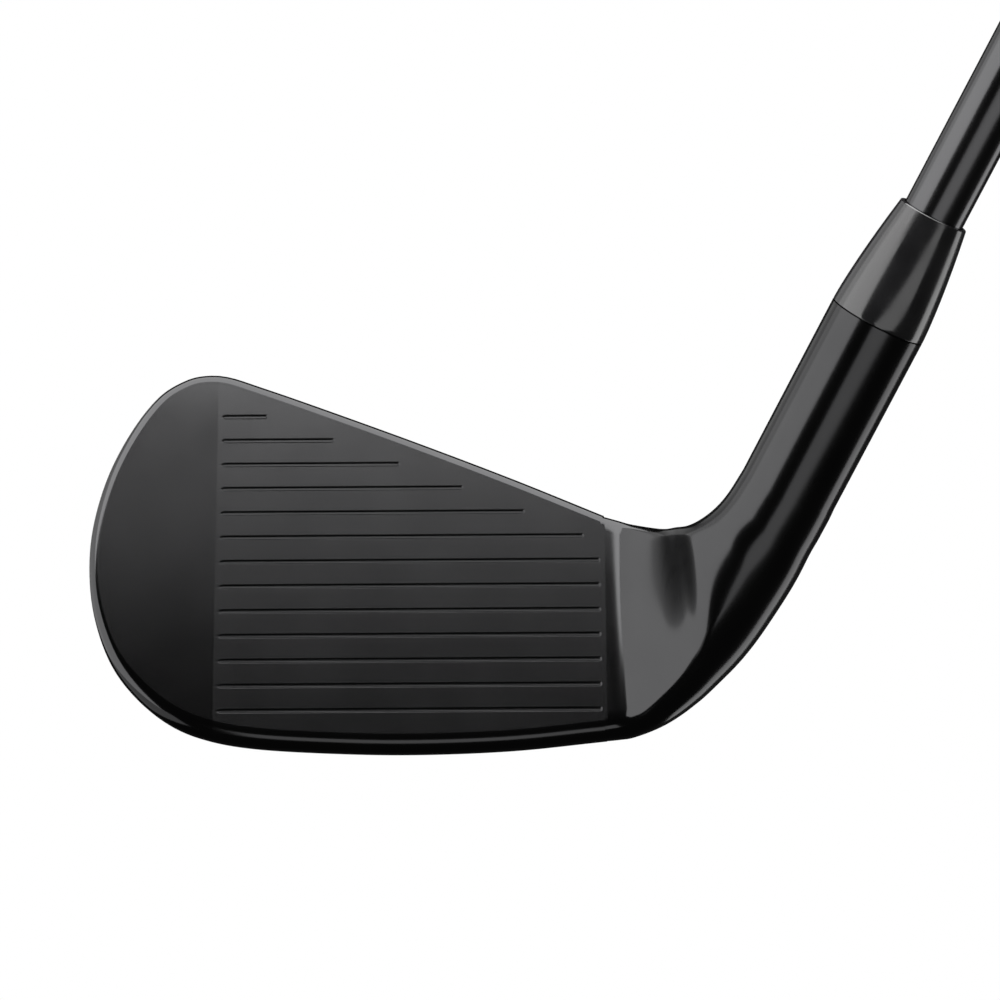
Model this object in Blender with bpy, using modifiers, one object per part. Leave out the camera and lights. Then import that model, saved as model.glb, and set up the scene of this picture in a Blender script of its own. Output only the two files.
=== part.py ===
"""Right-handed iron golf club, in metres with +Z up.

The club is held at address: the face looks towards -Y, the toe points to -X and the shaft leans
towards +X. The origin is the middle of the hands on the shaft axis. Head sizes are set in the
face frame: X along the face, V up the face and N back into the head, from the leading edge.
"""

import bisect
import math

import bmesh
import bpy
from mathutils import Vector

MM = 0.001

# Whole club
CLUB_LENGTH = 940 * MM
LOFT = math.radians(34)
LIE = math.radians(63.25)
CLEARANCE = 0.25 * MM
HANDS_BELOW_BUTT = 140 * MM

# Head, in the face frame
LEADING_EDGE_AHEAD = 4.1 * MM
LEADING_EDGE_HEIGHT = 3.2 * MM
BLADE_OUTLINE = [
    (-6.1, 35.85), (-20, 41.95), (-35, 48.12), (-50, 54), (-58, 57), (-62.5, 58.57),
    (-65.8, 58.9), (-69.2, 58.15), (-73.3, 55.45), (-77.3, 49.95), (-80.7, 42.75), (-82.7, 35),
    (-83.15, 28), (-82.3, 20.8), (-79.9, 13.8), (-76.2, 8.5), (-71.1, 4.15), (-65.5, 1.65),
    (-58, 0.2), (-46, -0.6), (-34, -0.85), (-20, -0.35), (-6.1, 1.05),
]
TOE_UPPER, TOE_LOWER = 10, 14
TOPLINE_EDGE_RADIUS = 1.45 * MM
LEADING_EDGE_RADIUS = 2.5 * MM
BACK_EDGE_RADIUS = 1.2 * MM
SOLE_START = 4 * MM
SOLE_RISE = 10 * MM
SOLE_CAMBER = 0.8 * MM
UPPER_THICKNESS = 6.6 * MM
MUSCLE_THICKNESS = 15 * MM
MUSCLE_TOP, MUSCLE_FOOT = 25 * MM, 14 * MM
MUSCLE_TOE_START, MUSCLE_TOE_END = -86 * MM, -70 * MM
MUSCLE_TAIL_SLOPE = 0.45
BACK_WALL = 2.4 * MM
SOLE_WALL = 2.6 * MM
RIM_WALL = 3.4 * MM
CAVITY_FLOOR = 4.6 * MM
CAVITY_TOE_CUT = 0.8 * MM
CAVITY_LEAST_DEPTH = 1.4 * MM

# Face plate and score lines
FACE_THICKNESS = 2.2 * MM
FACE_RIM = 0.3 * MM
FACE_HEEL = -6.1 * MM
SCORE_COUNT = 13
SCORE_PITCH = 3.867 * MM
SCORE_FIRST = 5.3 * MM
SCORE_WIDTH = 0.8 * MM
SCORE_DEPTH = 0.4 * MM
SCORE_TOE = -63.6 * MM
SCORE_HEEL = -6.75 * MM
SCORE_BELOW_TOPLINE = 4.8 * MM

# Heel: sections that turn about a point inside the bend
HEEL_PIVOT = (2 * MM, 50 * MM)
HEEL_SECTIONS = [
    # x of the section, turn in degrees, inner and outer reach from the pivot, roundness
    (-4.1, 0, 18.1, 47.5, 0.065),
    (-2, 0, 18.25, 47.1, 0.175),
    (2, 0, 17.75, 45.45, 0.455),
    (2, 7.5, 16.6, 41.95, 0.72),
    (2, 15, 15.85, 38.5, 0.915),
    (2, 30, 14.8, 32.9, 1),
    (2, 45, 13.95, 29.4, 1),
    (2, 54, 13.6, 28.35, 1),
]
HEEL_STEPS = 2

# Hosel, shaft and ferrule, by height along the shaft axis from the ground
HOSEL_RADIUS = 7.2 * MM
HOSEL_TOP = 73.07 * MM
HOSEL_BORE_DEPTH = 32 * MM
BOND_THICKNESS = 0.35 * MM
BOND_GAP = 0.15 * MM
FERRULE_LENGTH = 17.4 * MM
FERRULE_TOP_WALL = 0.7 * MM
FERRULE_TAPER_POWER = 1.45
FERRULE_LIP = 0.5 * MM
FERRULE_STATIONS = 8
SHAFT_TIP_RADIUS = 4.55 * MM
SHAFT_BUTT_RADIUS = 7.62 * MM
SHAFT_WALL = 0.5 * MM
SHAFT_STEPS = 12
SHAFT_FIRST_STEP = 230 * MM
SHAFT_STEP_LENGTH = 40 * MM
SHAFT_STEP_RISE = 1.5 * MM
TIP_WEIGHT_LENGTH = 20 * MM

# Grip
GRIP_LENGTH = 267 * MM
TAPE_THICKNESS = 0.3 * MM
TAPE_GAP = 0.15 * MM
GRIP_MOUTH_WALL = 0.65 * MM
GRIP_BUTT_WALL = 5 * MM
GRIP_TAPER_POWER = 1.7
GRIP_STATIONS = 12
CAP_THICKNESS = 3.5 * MM
CAP_EDGE = 1.2 * MM
VENT_RADIUS = 2 * MM

# Inserts in the head
INSERT_GAP = 0.7 * MM
CORE_SPAN = (-49.3 * MM, -24.6 * MM)
TOE_WEIGHT_SPAN = (-76 * MM, -56 * MM)
HEEL_WEIGHT_SPAN = (-19 * MM, -11 * MM)
WEIGHT_TOP = 17 * MM
CORE_HEIGHTS = (7 * MM, 36 * MM)
BADGE_SPAN = (-62 * MM, -20 * MM)
BADGE_FOOT = 28.5 * MM
BADGE_BELOW_TOPLINE = 5.5 * MM
BADGE_TOE_HEIGHT = 48 * MM
BADGE_THICKNESS = 0.5 * MM
ADHESIVE_THICKNESS = 0.3 * MM
BADGE_RECESS = BADGE_THICKNESS + ADHESIVE_THICKNESS + 2 * BOND_GAP

# Mesh fineness and cutter overruns
SAMPLES_PER_SPAN = 12
SMOOTH_ANGLE = math.radians(35)
SEARCH_STEP = 0.1 * MM
CUTTER_OVER = 1 * MM
TURN_SEGMENTS = 24
FRONT_CELLS = 6
RIM_CELLS = 8
TOE_COLUMNS = 9
BLADE_COLUMNS = 9
TOE_SHARE = 0.27
CAVITY_COLUMNS = 26
CAVITY_ROWS = 14

BORE_RADIUS = SHAFT_TIP_RADIUS + BOND_THICKNESS + 2 * BOND_GAP
TAPE_STACK = TAPE_THICKNESS + 2 * TAPE_GAP
GRIP_BUTT_RADIUS = SHAFT_BUTT_RADIUS + TAPE_STACK + GRIP_BUTT_WALL
SHAFT_TIP = HOSEL_TOP - HOSEL_BORE_DEPTH + CLEARANCE
GRIP_MOUTH = CLUB_LENGTH - GRIP_LENGTH


# Scene, collections and materials


def clear_scene():
    for item in list(bpy.data.objects):
        bpy.data.objects.remove(item)


def new_collection(name):
    collection = bpy.data.collections.new(name)
    bpy.context.scene.collection.children.link(collection)
    return collection


def new_material(name, colour, roughness, metallic):
    material = bpy.data.materials.new(name)
    material.use_nodes = True
    shader = material.node_tree.nodes["Principled BSDF"]
    shader.inputs["Base Color"].default_value = (*colour, 1)
    shader.inputs["Roughness"].default_value = roughness
    shader.inputs["Metallic"].default_value = metallic
    return material


def add_part(name, mesh, material, parent):
    part = bpy.data.objects.new(name, mesh)
    club.objects.link(part)
    mesh.materials.clear()
    mesh.materials.append(material)
    part.parent = parent
    return part


def add_cutter(name, mesh, parent):
    cutter = bpy.data.objects.new(name, mesh)
    cutters.objects.link(cutter)
    cutter.parent = parent
    cutter.hide_render = True
    cutter.display_type = "WIRE"
    return cutter


def add_empty(name, parent=None):
    empty = bpy.data.objects.new(name, None)
    club.objects.link(empty)
    empty.parent = parent
    return empty


def boolean(part, cutter, operation="DIFFERENCE", solver="EXACT"):
    modifier = part.modifiers.new(cutter.name, "BOOLEAN")
    modifier.object = cutter
    modifier.operation = operation
    modifier.solver = solver


def mesh_from(bm, name, smooth_angle=None):
    bmesh.ops.recalc_face_normals(bm, faces=bm.faces)
    mesh = bpy.data.meshes.new(name)
    bm.to_mesh(mesh)
    bm.free()
    if smooth_angle is not None:
        mesh.shade_smooth()
        mesh.set_sharp_from_angle(angle=smooth_angle)
    return mesh


# Face frame and blade outline


def mix(first, second, share):
    return first + (second - first) * share


def smooth(value):
    value = min(max(value, 0), 1)
    return value * value * (3 - 2 * value)


def in_club(x, v, n):
    """Place of a point of the face frame in the club's frame at address."""
    y = v * math.sin(LOFT) + n * math.cos(LOFT) - LEADING_EDGE_AHEAD
    z = v * math.cos(LOFT) - n * math.sin(LOFT) + LEADING_EDGE_HEIGHT
    return Vector((x, y, z))


def catmull_rom(before, start, end, after, share):
    """Point of the smooth curve between start and end."""
    squared, cubed = share**2, share**3
    return 0.5 * (
        2 * start
        + (end - before) * share
        + (2 * before - 5 * start + 4 * end - after) * squared
        + (3 * start - before - 3 * end + after) * cubed
    )


def smooth_line(points, per_span):
    """The curve through the points, and the distance along it to each of its samples."""
    points = [2 * points[0] - points[1], *points, 2 * points[-1] - points[-2]]
    line = []
    for i in range(1, len(points) - 2):
        for step in range(per_span):
            line.append(catmull_rom(*points[i - 1 : i + 3], step / per_span))
    line.append(points[-2])
    lengths = [0]
    for first, second in zip(line, line[1:]):
        lengths.append(lengths[-1] + (second - first).length)
    return line, lengths


OUTLINE, OUTLINE_LENGTHS = smooth_line([Vector(p) * MM for p in BLADE_OUTLINE], SAMPLES_PER_SPAN)


def outline_at(distance):
    """Point and outward normal of the outline at a distance along it."""
    i = bisect.bisect_right(OUTLINE_LENGTHS, distance) - 1
    i = min(max(i, 0), len(OUTLINE) - 2)
    first, second = OUTLINE[i], OUTLINE[i + 1]
    step = OUTLINE_LENGTHS[i + 1] - OUTLINE_LENGTHS[i]
    point = first.lerp(second, (distance - OUTLINE_LENGTHS[i]) / step)
    low, high = OUTLINE[max(i - 1, 0)], OUTLINE[min(i + 2, len(OUTLINE) - 1)]
    along = (high - low).normalized()
    return point, Vector((along.y, -along.x))


def topline_height(x):
    """Height of the topline at x, on the heel side of its highest point."""
    i = 0
    while OUTLINE[i + 1].x > x:
        i += 1
    first, second = OUTLINE[i], OUTLINE[i + 1]
    return mix(first.y, second.y, (x - first.x) / (second.x - first.x))


def sole_height(x):
    """Lowest height of the outline at x."""
    i = len(OUTLINE) - 1
    while OUTLINE[i - 1].x > x:
        i -= 1
    first, second = OUTLINE[i], OUTLINE[i - 1]
    return mix(first.y, second.y, (x - first.x) / (second.x - first.x))


def back_depth(x, v):
    """Depth of the back of the head behind the face: thin above, a muscle below."""
    toe_fade = smooth((x - MUSCLE_TOE_START) / (MUSCLE_TOE_END - MUSCLE_TOE_START))
    muscle = smooth((MUSCLE_TOP - v) / (MUSCLE_TOP - MUSCLE_FOOT)) * toe_fade
    tail = MUSCLE_TAIL_SLOPE * max(MUSCLE_FOOT - v, 0) * toe_fade
    return UPPER_THICKNESS + (MUSCLE_THICKNESS - UPPER_THICKNESS) * muscle + tail


def rim_profile(distance):
    """Points across the rim from the face edge to the back edge, in the face frame."""
    point, normal = outline_at(distance)
    sole = smooth(-normal.y)
    radius = mix(TOPLINE_EDGE_RADIUS, LEADING_EDGE_RADIUS, sole)
    sweep = math.radians(mix(90, 114, sole))

    def deep(outward):
        place = point + normal * outward
        return Vector((outward, back_depth(place.x, place.y)))

    corner = deep(-SOLE_RISE * sole)
    back_edge = deep(-SOLE_RISE * sole - BACK_EDGE_RADIUS)
    arc_cells = RIM_CELLS // 2
    profile = []
    for step in range(arc_cells + 1):
        angle = sweep * step / arc_cells
        profile.append(Vector((math.sin(angle) - 1, 1 - math.cos(angle))) * radius)
    arc_end = profile[-1]
    wall_end = corner + (arc_end - corner).normalized() * BACK_EDGE_RADIUS
    bulge = Vector((1, -0.6)).normalized() * SOLE_CAMBER * sole
    profile.append(arc_end.lerp(wall_end, 0.5) + bulge)
    profile.append(wall_end)
    profile.append((wall_end + 2 * corner + back_edge) / 4)
    profile.append(back_edge)
    rim = []
    for outward, depth in profile:
        place = point + normal * outward
        rim.append(Vector((place.x, place.y, depth)))
    return rim


def column_distances():
    """Pairs of distances along the outline, on the topline and on the sole, toe to heel."""
    start = OUTLINE_LENGTHS[TOE_UPPER * SAMPLES_PER_SPAN]
    end = OUTLINE_LENGTHS[TOE_LOWER * SAMPLES_PER_SPAN]
    shares = [TOE_SHARE * i / TOE_COLUMNS for i in range(TOE_COLUMNS)]
    shares += [mix(TOE_SHARE, 1, i / BLADE_COLUMNS) for i in range(BLADE_COLUMNS + 1)]
    return [(mix(start, 0, s), mix(end, OUTLINE_LENGTHS[-1], s)) for s in shares]


def coons(top, bottom, left, right):
    """Grid of points between four border lines, as a list of columns from left to right."""
    rows, columns = len(left), len(top)
    grid = []
    for k in range(columns):
        v = k / (columns - 1)
        column = []
        for i in range(rows):
            u = i / (rows - 1)
            across = mix(top[k], bottom[k], u)
            along = mix(left[i], right[i], v)
            corners = mix(mix(top[0], bottom[0], u), mix(top[-1], bottom[-1], u), v)
            column.append(across + along - corners)
        grid.append(column)
    return grid


def blade_surface():
    """Rims, front grid and back grid of the blade, in the face frame."""
    pairs = column_distances()
    top_rims = [rim_profile(top) for top, _ in pairs]
    sole_rims = [rim_profile(bottom) for _, bottom in pairs]
    toe_distances = [mix(*pairs[0], i / FRONT_CELLS) for i in range(FRONT_CELLS + 1)]
    toe_rims = [rim_profile(distance) for distance in toe_distances]
    grids = []
    for edge in (0, -1):
        top = [rim[edge] for rim in top_rims]
        bottom = [rim[edge] for rim in sole_rims]
        left = [rim[edge] for rim in toe_rims]
        right = [mix(top[-1], bottom[-1], i / FRONT_CELLS) for i in range(FRONT_CELLS + 1)]
        grids.append(coons(top, bottom, left, right))
    for column in grids[1]:
        for point in column[1:-1]:
            point.z = back_depth(point.x, point.y)
    return top_rims, sole_rims, toe_rims, grids[0], grids[1]


# Head body


def head_loops():
    """Closed loops of points around the head, from the toe to the top of the hosel."""
    top_rims, sole_rims, toe_rims, front, back = blade_surface()
    loops = []
    for k in range(len(front)):
        loop = [*front[k], *sole_rims[k][1:-1], *reversed(back[k]), *reversed(top_rims[k][1:-1])]
        loops.append([in_club(*point) for point in loop])
    toe_cap = [[in_club(*point) for point in rim] for rim in toe_rims]
    return loops + heel_loops(loops[-1]), toe_cap


def round_angles():
    """Angle around the hosel of each point of a loop, from the outer side to the front."""
    corners = [(0, 160), (FRONT_CELLS, 88), (FRONT_CELLS + RIM_CELLS, -60)]
    corners += [(2 * FRONT_CELLS + RIM_CELLS, -150), (2 * (FRONT_CELLS + RIM_CELLS), -200)]
    angles = []
    for (first, start), (last, end) in zip(corners, corners[1:]):
        for i in range(first, last):
            angles.append(math.radians(mix(start, end, (i - first) / (last - first))))
    return angles


def heel_loops(blade_loop):
    """Loops from the heel end of the blade round the bend and up the hosel."""
    pivot_x, pivot_z = HEEL_PIVOT
    reach = [pivot_z - point.z for point in blade_loop]
    inner, outer = min(reach), max(reach)
    across_angle = math.pi / 2 - LIE
    lean = Vector((math.cos(across_angle), -math.sin(across_angle)))
    axis_reach = -(pivot_x * lean.x + pivot_z * lean.y)
    last = (HEEL_PIVOT[0] / MM, math.degrees(LIE))
    last += ((axis_reach - HOSEL_RADIUS) / MM, (axis_reach + HOSEL_RADIUS) / MM, 1)
    start = (blade_loop[0].x / MM, 0, inner / MM, outer / MM, 0)
    stations, _ = smooth_line([Vector(s) for s in (start, *HEEL_SECTIONS, last)], HEEL_STEPS)
    angles = round_angles()
    loops = []
    for x, turn, near, far, roundness in stations[1:]:
        turn = math.radians(turn)
        scale = math.cos(LIE - turn)
        centre = (pivot_z * math.cos(LIE) - x * MM * math.sin(LIE)) / scale
        places = []
        for point, start_reach, angle in zip(blade_loop, reach, angles):
            round_reach = centre + HOSEL_RADIUS * math.cos(angle)
            distance = mix(start_reach, round_reach, roundness)
            depth = mix(point.y, -HOSEL_RADIUS * math.sin(angle), roundness)
            places.append((distance, depth))
        shortest = min(distance for distance, _ in places)
        longest = max(distance for distance, _ in places)
        loop = []
        for distance, depth in places:
            share = (distance - shortest) / (longest - shortest)
            distance = mix(near, far, share) * MM
            across = distance * math.sin(turn)
            loop.append(Vector((x * MM + across, depth, pivot_z - distance * math.cos(turn))))
        loops.append(loop)
    rise = HOSEL_TOP - (pivot_x * math.cos(LIE) + pivot_z * math.sin(LIE))
    lift = Vector((math.cos(LIE), 0, math.sin(LIE))) * rise
    loops.append([point + lift for point in loops[-1]])
    return loops


def head_mesh():
    loops, toe_cap = head_loops()
    bm = bmesh.new()
    rings = [[bm.verts.new(point) for point in loop] for loop in loops]
    size = len(rings[0])
    for near, far in zip(rings, rings[1:]):
        for i in range(size):
            j = (i + 1) % size
            bm.faces.new((near[i], near[j], far[j], far[i]))
    bm.faces.new(rings[-1])
    cap = []
    for i, rim in enumerate(toe_cap):
        row = [rings[0][i]]
        for j in range(1, RIM_CELLS):
            if i == 0:
                row.append(rings[0][size - j])
            elif i == FRONT_CELLS:
                row.append(rings[0][FRONT_CELLS + j])
            else:
                row.append(bm.verts.new(rim[j]))
        row.append(rings[0][2 * FRONT_CELLS + RIM_CELLS - i])
        cap.append(row)
    for upper, lower in zip(cap, cap[1:]):
        for j in range(RIM_CELLS):
            bm.faces.new((upper[j], upper[j + 1], lower[j + 1], lower[j]))
    return mesh_from(bm, "head_body", SMOOTH_ANGLE)


# Pieces that share the blade's outline


def inset_line(margin):
    """The face edge moved inwards by a margin, from the heel top round the toe to the sole."""
    pairs = column_distances()
    distances = [top for top, _ in reversed(pairs)]
    distances += [mix(*pairs[0], i / FRONT_CELLS) for i in range(1, FRONT_CELLS)]
    distances += [bottom for _, bottom in pairs]
    line = []
    for distance in distances:
        point, normal = outline_at(distance)
        edge = mix(TOPLINE_EDGE_RADIUS, LEADING_EDGE_RADIUS, smooth(-normal.y))
        line.append(point - normal * (edge + margin))
    return line


def reach_heel(inner, outer, heel):
    """Where the line through two points comes to the heel's x."""
    return inner.lerp(outer, (heel - inner.x) / (outer.x - inner.x))


def face_outline(margin, heel):
    """Closed outline of the face, cut off by a line across the heel."""
    inside = [point for point in inset_line(margin) if point.x < heel - CLEARANCE]
    top = reach_heel(inside[1], inside[0], heel)
    bottom = reach_heel(inside[-2], inside[-1], heel)
    return [top, *inside, bottom]


def prism(name, outline, near, far):
    """Solid of a face outline between two depths."""
    bm = bmesh.new()
    front = [bm.verts.new(in_club(x, v, near)) for x, v in outline]
    back = [bm.verts.new(in_club(x, v, far)) for x, v in outline]
    bm.faces.new(front)
    bm.faces.new(back)
    for i in range(len(front)):
        j = (i + 1) % len(front)
        bm.faces.new((front[i], front[j], back[j], back[i]))
    return mesh_from(bm, name)


def cavity_depth(x, v):
    """Depth of the cavity's back wall, which stays clear of the back and of the sole."""
    back = back_depth(x, v) - BACK_WALL
    above_sole = v - sole_height(x) - SOLE_WALL / math.cos(LOFT)
    sole = SOLE_START + above_sole / math.tan(LOFT)
    return min(back, sole)


def cavity_mesh(name):
    """Solid of the cavity, from the back of the face plate to the inside of the back wall."""
    outline = face_outline(RIM_WALL, FACE_HEEL - RIM_WALL)
    xs = [point.x for point in outline]
    bm = bmesh.new()
    columns = []
    for k in range(CAVITY_COLUMNS + 1):
        x = mix(min(xs) + CAVITY_TOE_CUT, max(xs), k / CAVITY_COLUMNS)
        heights = crossings(outline, x)
        low, high = max(min(heights), sole_height(x) + CAVITY_FLOOR), max(heights)
        column = []
        for i in range(CAVITY_ROWS + 1):
            v = mix(high, low, i / CAVITY_ROWS)
            deep = max(cavity_depth(x, v), FACE_THICKNESS + CAVITY_LEAST_DEPTH)
            near = bm.verts.new(in_club(x, v, FACE_THICKNESS))
            column.append((near, bm.verts.new(in_club(x, v, deep))))
        columns.append(column)
    for near, far in zip(columns, columns[1:]):
        for a, b, c, d in zip(near, near[1:], far[1:], far):
            bm.faces.new((a[0], b[0], c[0], d[0]))
            bm.faces.new((a[1], b[1], c[1], d[1]))
        for row in (0, -1):
            bm.faces.new((near[row][0], far[row][0], far[row][1], near[row][1]))
    for column in (columns[0], columns[-1]):
        for a, b in zip(column, column[1:]):
            bm.faces.new((a[0], b[0], b[1], a[1]))
    return mesh_from(bm, name)


def crossings(outline, x):
    """Heights at which a closed outline crosses x."""
    heights = []
    for first, second in zip(outline, outline[1:] + outline[:1]):
        if min(first.x, second.x) <= x <= max(first.x, second.x) and first.x != second.x:
            heights.append(mix(first.y, second.y, (x - first.x) / (second.x - first.x)))
    return heights


def score_line(index):
    """Cutter for one score line: a slot with sloping walls and round ends."""
    height = SCORE_FIRST + index * SCORE_PITCH
    heel = SCORE_HEEL
    while topline_height(heel) < height + SCORE_BELOW_TOPLINE:
        heel -= SEARCH_STEP
    half, floor = SCORE_WIDTH / 2, SCORE_WIDTH / 4
    slope = (half - floor) / SCORE_DEPTH
    bm = bmesh.new()
    rings = []
    for depth, radius in ((-CLEARANCE, half + slope * CLEARANCE), (SCORE_DEPTH, floor)):
        ring = []
        for end, start in ((heel - half, -90), (SCORE_TOE + half, 90)):
            for step in range(5):
                angle = math.radians(start + 45 * step)
                x, v = end + radius * math.cos(angle), height + radius * math.sin(angle)
                ring.append(bm.verts.new(in_club(x, v, depth)))
        rings.append(ring)
    top, bottom = rings
    bm.faces.new(top)
    bm.faces.new(bottom)
    for i in range(len(top)):
        j = (i + 1) % len(top)
        bm.faces.new((top[i], top[j], bottom[j], bottom[i]))
    return mesh_from(bm, f"score_line_{index + 1}")


def insert(name, span, heights, material, form):
    """Block inside the cavity: the part of its form between two ends and two heights."""
    low, high = heights
    corners = ((span[0], low), (span[1], low), (span[1], high), (span[0], high))
    outline = [Vector(corner) for corner in corners]
    block = prism(name, outline, -CUTTER_OVER, 2 * MUSCLE_THICKNESS)
    part = add_part(name, block, material, address)
    boolean(part, form, "INTERSECT", "MANIFOLD")
    return part


def badge_outline(margin):
    left, right = BADGE_SPAN[0] + margin, BADGE_SPAN[1] - margin
    below = BADGE_BELOW_TOPLINE + margin
    foot = BADGE_FOOT + margin
    outline = [Vector((left, foot)), Vector((right, foot))]
    outline.append(Vector((right, topline_height(right) - below)))
    shoulder = right
    while topline_height(shoulder) - below < BADGE_TOE_HEIGHT - margin:
        shoulder -= SEARCH_STEP
    outline.append(Vector((shoulder, BADGE_TOE_HEIGHT - margin)))
    outline.append(Vector((left, BADGE_TOE_HEIGHT - margin)))
    return outline


# Turned pieces along the shaft axis


def turned(name, profile, closed=True):
    """Solid turned about local Z from (radius, height) points, down its outer side first."""
    bm = bmesh.new()
    verts = [bm.verts.new((radius, 0, height)) for radius, height in profile]
    for first, second in zip(verts, verts[1:]):
        bm.edges.new((first, second))
    if closed:
        bm.edges.new((verts[-1], verts[0]))
    mesh = bpy.data.meshes.new(name)
    bm.to_mesh(mesh)
    bm.free()
    return mesh


def add_screw(part):
    screw = part.modifiers.new("turn", "SCREW")
    screw.axis = "Z"
    screw.steps = TURN_SEGMENTS
    screw.render_steps = TURN_SEGMENTS
    screw.use_merge_vertices = True
    screw.merge_threshold = 0.00001
    screw.use_smooth_shade = True


def add_turned(name, profile, material, closed=True):
    part = add_part(name, turned(name, profile, closed), material, shaft_axis)
    add_screw(part)
    return part


def shaft_radius(height):
    """Outer radius of the stepped shaft at a height along its axis."""
    above = (height - SHAFT_TIP - SHAFT_FIRST_STEP) / SHAFT_STEP_LENGTH
    if above < 0:
        return SHAFT_TIP_RADIUS
    whole = min(int(above), SHAFT_STEPS - 1)
    rising = min((above - whole) * SHAFT_STEP_LENGTH / SHAFT_STEP_RISE, 1)
    return mix(SHAFT_TIP_RADIUS, SHAFT_BUTT_RADIUS, (whole + rising) / SHAFT_STEPS)


def shaft_stations(bottom, top):
    """Heights at which the shaft changes radius, between two ends."""
    heights = [bottom]
    for step in range(SHAFT_STEPS):
        start = SHAFT_TIP + SHAFT_FIRST_STEP + step * SHAFT_STEP_LENGTH
        for height in (start, start + SHAFT_STEP_RISE):
            if bottom < height < top:
                heights.append(height)
    return [*heights, top]


def sleeve(bottom, top, inside, outside):
    """Profile of a tube that follows the shaft, from two offsets to its outer radius."""
    heights = shaft_stations(bottom, top)
    outer = [(shaft_radius(height) + outside, height) for height in reversed(heights)]
    inner = [(shaft_radius(height) + inside, height) for height in heights]
    return outer + inner


def ferrule_profile():
    bottom, top = HOSEL_TOP + CLEARANCE, HOSEL_TOP + FERRULE_LENGTH
    profile = [(SHAFT_TIP_RADIUS + BOND_GAP, top)]
    taper = HOSEL_RADIUS - SHAFT_TIP_RADIUS - FERRULE_TOP_WALL
    for i in range(FERRULE_STATIONS, -1, -1):
        share = i / FERRULE_STATIONS
        radius = HOSEL_RADIUS - taper * share**FERRULE_TAPER_POWER
        height = mix(bottom, top - FERRULE_LIP, share)
        if i == FERRULE_STATIONS:
            profile.append((radius - FERRULE_LIP, top))
        profile.append((radius, height))
    profile.append((SHAFT_TIP_RADIUS + BOND_GAP, bottom))
    return profile


def grip_profile():
    bottom, top = GRIP_MOUTH, CLUB_LENGTH - CAP_THICKNESS
    mouth_radius = shaft_radius(bottom) + TAPE_STACK + GRIP_MOUTH_WALL
    outer = []
    for i in range(GRIP_STATIONS, -1, -1):
        share = i / GRIP_STATIONS
        radius = mix(mouth_radius, GRIP_BUTT_RADIUS, share**GRIP_TAPER_POWER)
        outer.append((radius, mix(bottom, top, share)))
    inner = [(shaft_radius(h) + TAPE_STACK, h) for h in shaft_stations(bottom, top)]
    return outer + inner


def cap_profile():
    bottom, top = CLUB_LENGTH - CAP_THICKNESS + CLEARANCE, CLUB_LENGTH
    corner = (1 - math.sqrt(0.5)) * CAP_EDGE
    profile = [(VENT_RADIUS, top), (GRIP_BUTT_RADIUS - CAP_EDGE, top)]
    profile.append((GRIP_BUTT_RADIUS - corner, top - corner))
    profile += [(GRIP_BUTT_RADIUS, top - CAP_EDGE), (GRIP_BUTT_RADIUS, bottom)]
    profile.append((VENT_RADIUS, bottom))
    return profile


# Assembly

clear_scene()
club = new_collection("iron_golf_club")
cutters = new_collection("cutters")
black_head = new_material("black_head", (0.012, 0.012, 0.013), 0.36, 1.0)
black_face = new_material("black_face", (0.03, 0.03, 0.031), 0.5, 1.0)
black_shaft = new_material("black_shaft", (0.05, 0.05, 0.052), 0.3, 1.0)
black_plastic = new_material("black_plastic", (0.012, 0.012, 0.012), 0.3, 0.0)
tungsten = new_material("tungsten", (0.2, 0.19, 0.18), 0.45, 1.0)
polymer = new_material("polymer", (0.18, 0.02, 0.02), 0.6, 0.0)
badge_metal = new_material("badge_metal", (0.05, 0.05, 0.05), 0.35, 1.0)
foam_tape = new_material("foam_tape", (0.6, 0.6, 0.58), 0.9, 0.0)
epoxy = new_material("epoxy", (0.3, 0.26, 0.16), 0.4, 0.0)
rubber = new_material("rubber", (0.02, 0.02, 0.02), 0.75, 0.0)

address = add_empty("address")
shaft_axis = add_empty("shaft_axis", address)
shaft_axis.rotation_euler = (0, math.pi / 2 - LIE, 0)
hands = CLUB_LENGTH - HANDS_BELOW_BUTT
address.location = (-hands * math.cos(LIE), 0, -hands * math.sin(LIE))


def add_head():
    body = add_part("head_body", head_mesh(), black_head, address)
    pocket_outline = face_outline(FACE_RIM, FACE_HEEL)
    pocket = prism("face_pocket", pocket_outline, -CUTTER_OVER, FACE_THICKNESS + CLEARANCE)
    boolean(body, add_cutter("face_pocket", pocket, address))
    boolean(body, add_cutter("cavity", cavity_mesh("cavity"), address))
    recess_floor = UPPER_THICKNESS - BADGE_RECESS
    recess = prism("badge_recess", badge_outline(0), recess_floor, UPPER_THICKNESS + CUTTER_OVER)
    boolean(body, add_cutter("badge_recess", recess, address))
    bore_top, bore_floor = HOSEL_TOP + CUTTER_OVER, HOSEL_TOP - HOSEL_BORE_DEPTH
    bore_profile = [(0, bore_top), (BORE_RADIUS, bore_top)]
    bore_profile += [(BORE_RADIUS, bore_floor), (0, bore_floor)]
    bore = add_cutter("hosel_bore", turned("hosel_bore", bore_profile, closed=False), shaft_axis)
    add_screw(bore)
    boolean(body, bore)


def add_face_plate():
    outline = face_outline(FACE_RIM + CLEARANCE, FACE_HEEL - CLEARANCE)
    slab = prism("face_plate", outline, 0, FACE_THICKNESS)
    plate = add_part("face_plate", slab, black_face, address)
    for index in range(SCORE_COUNT):
        line = score_line(index)
        boolean(plate, add_cutter(line.name, line, address))


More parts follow.
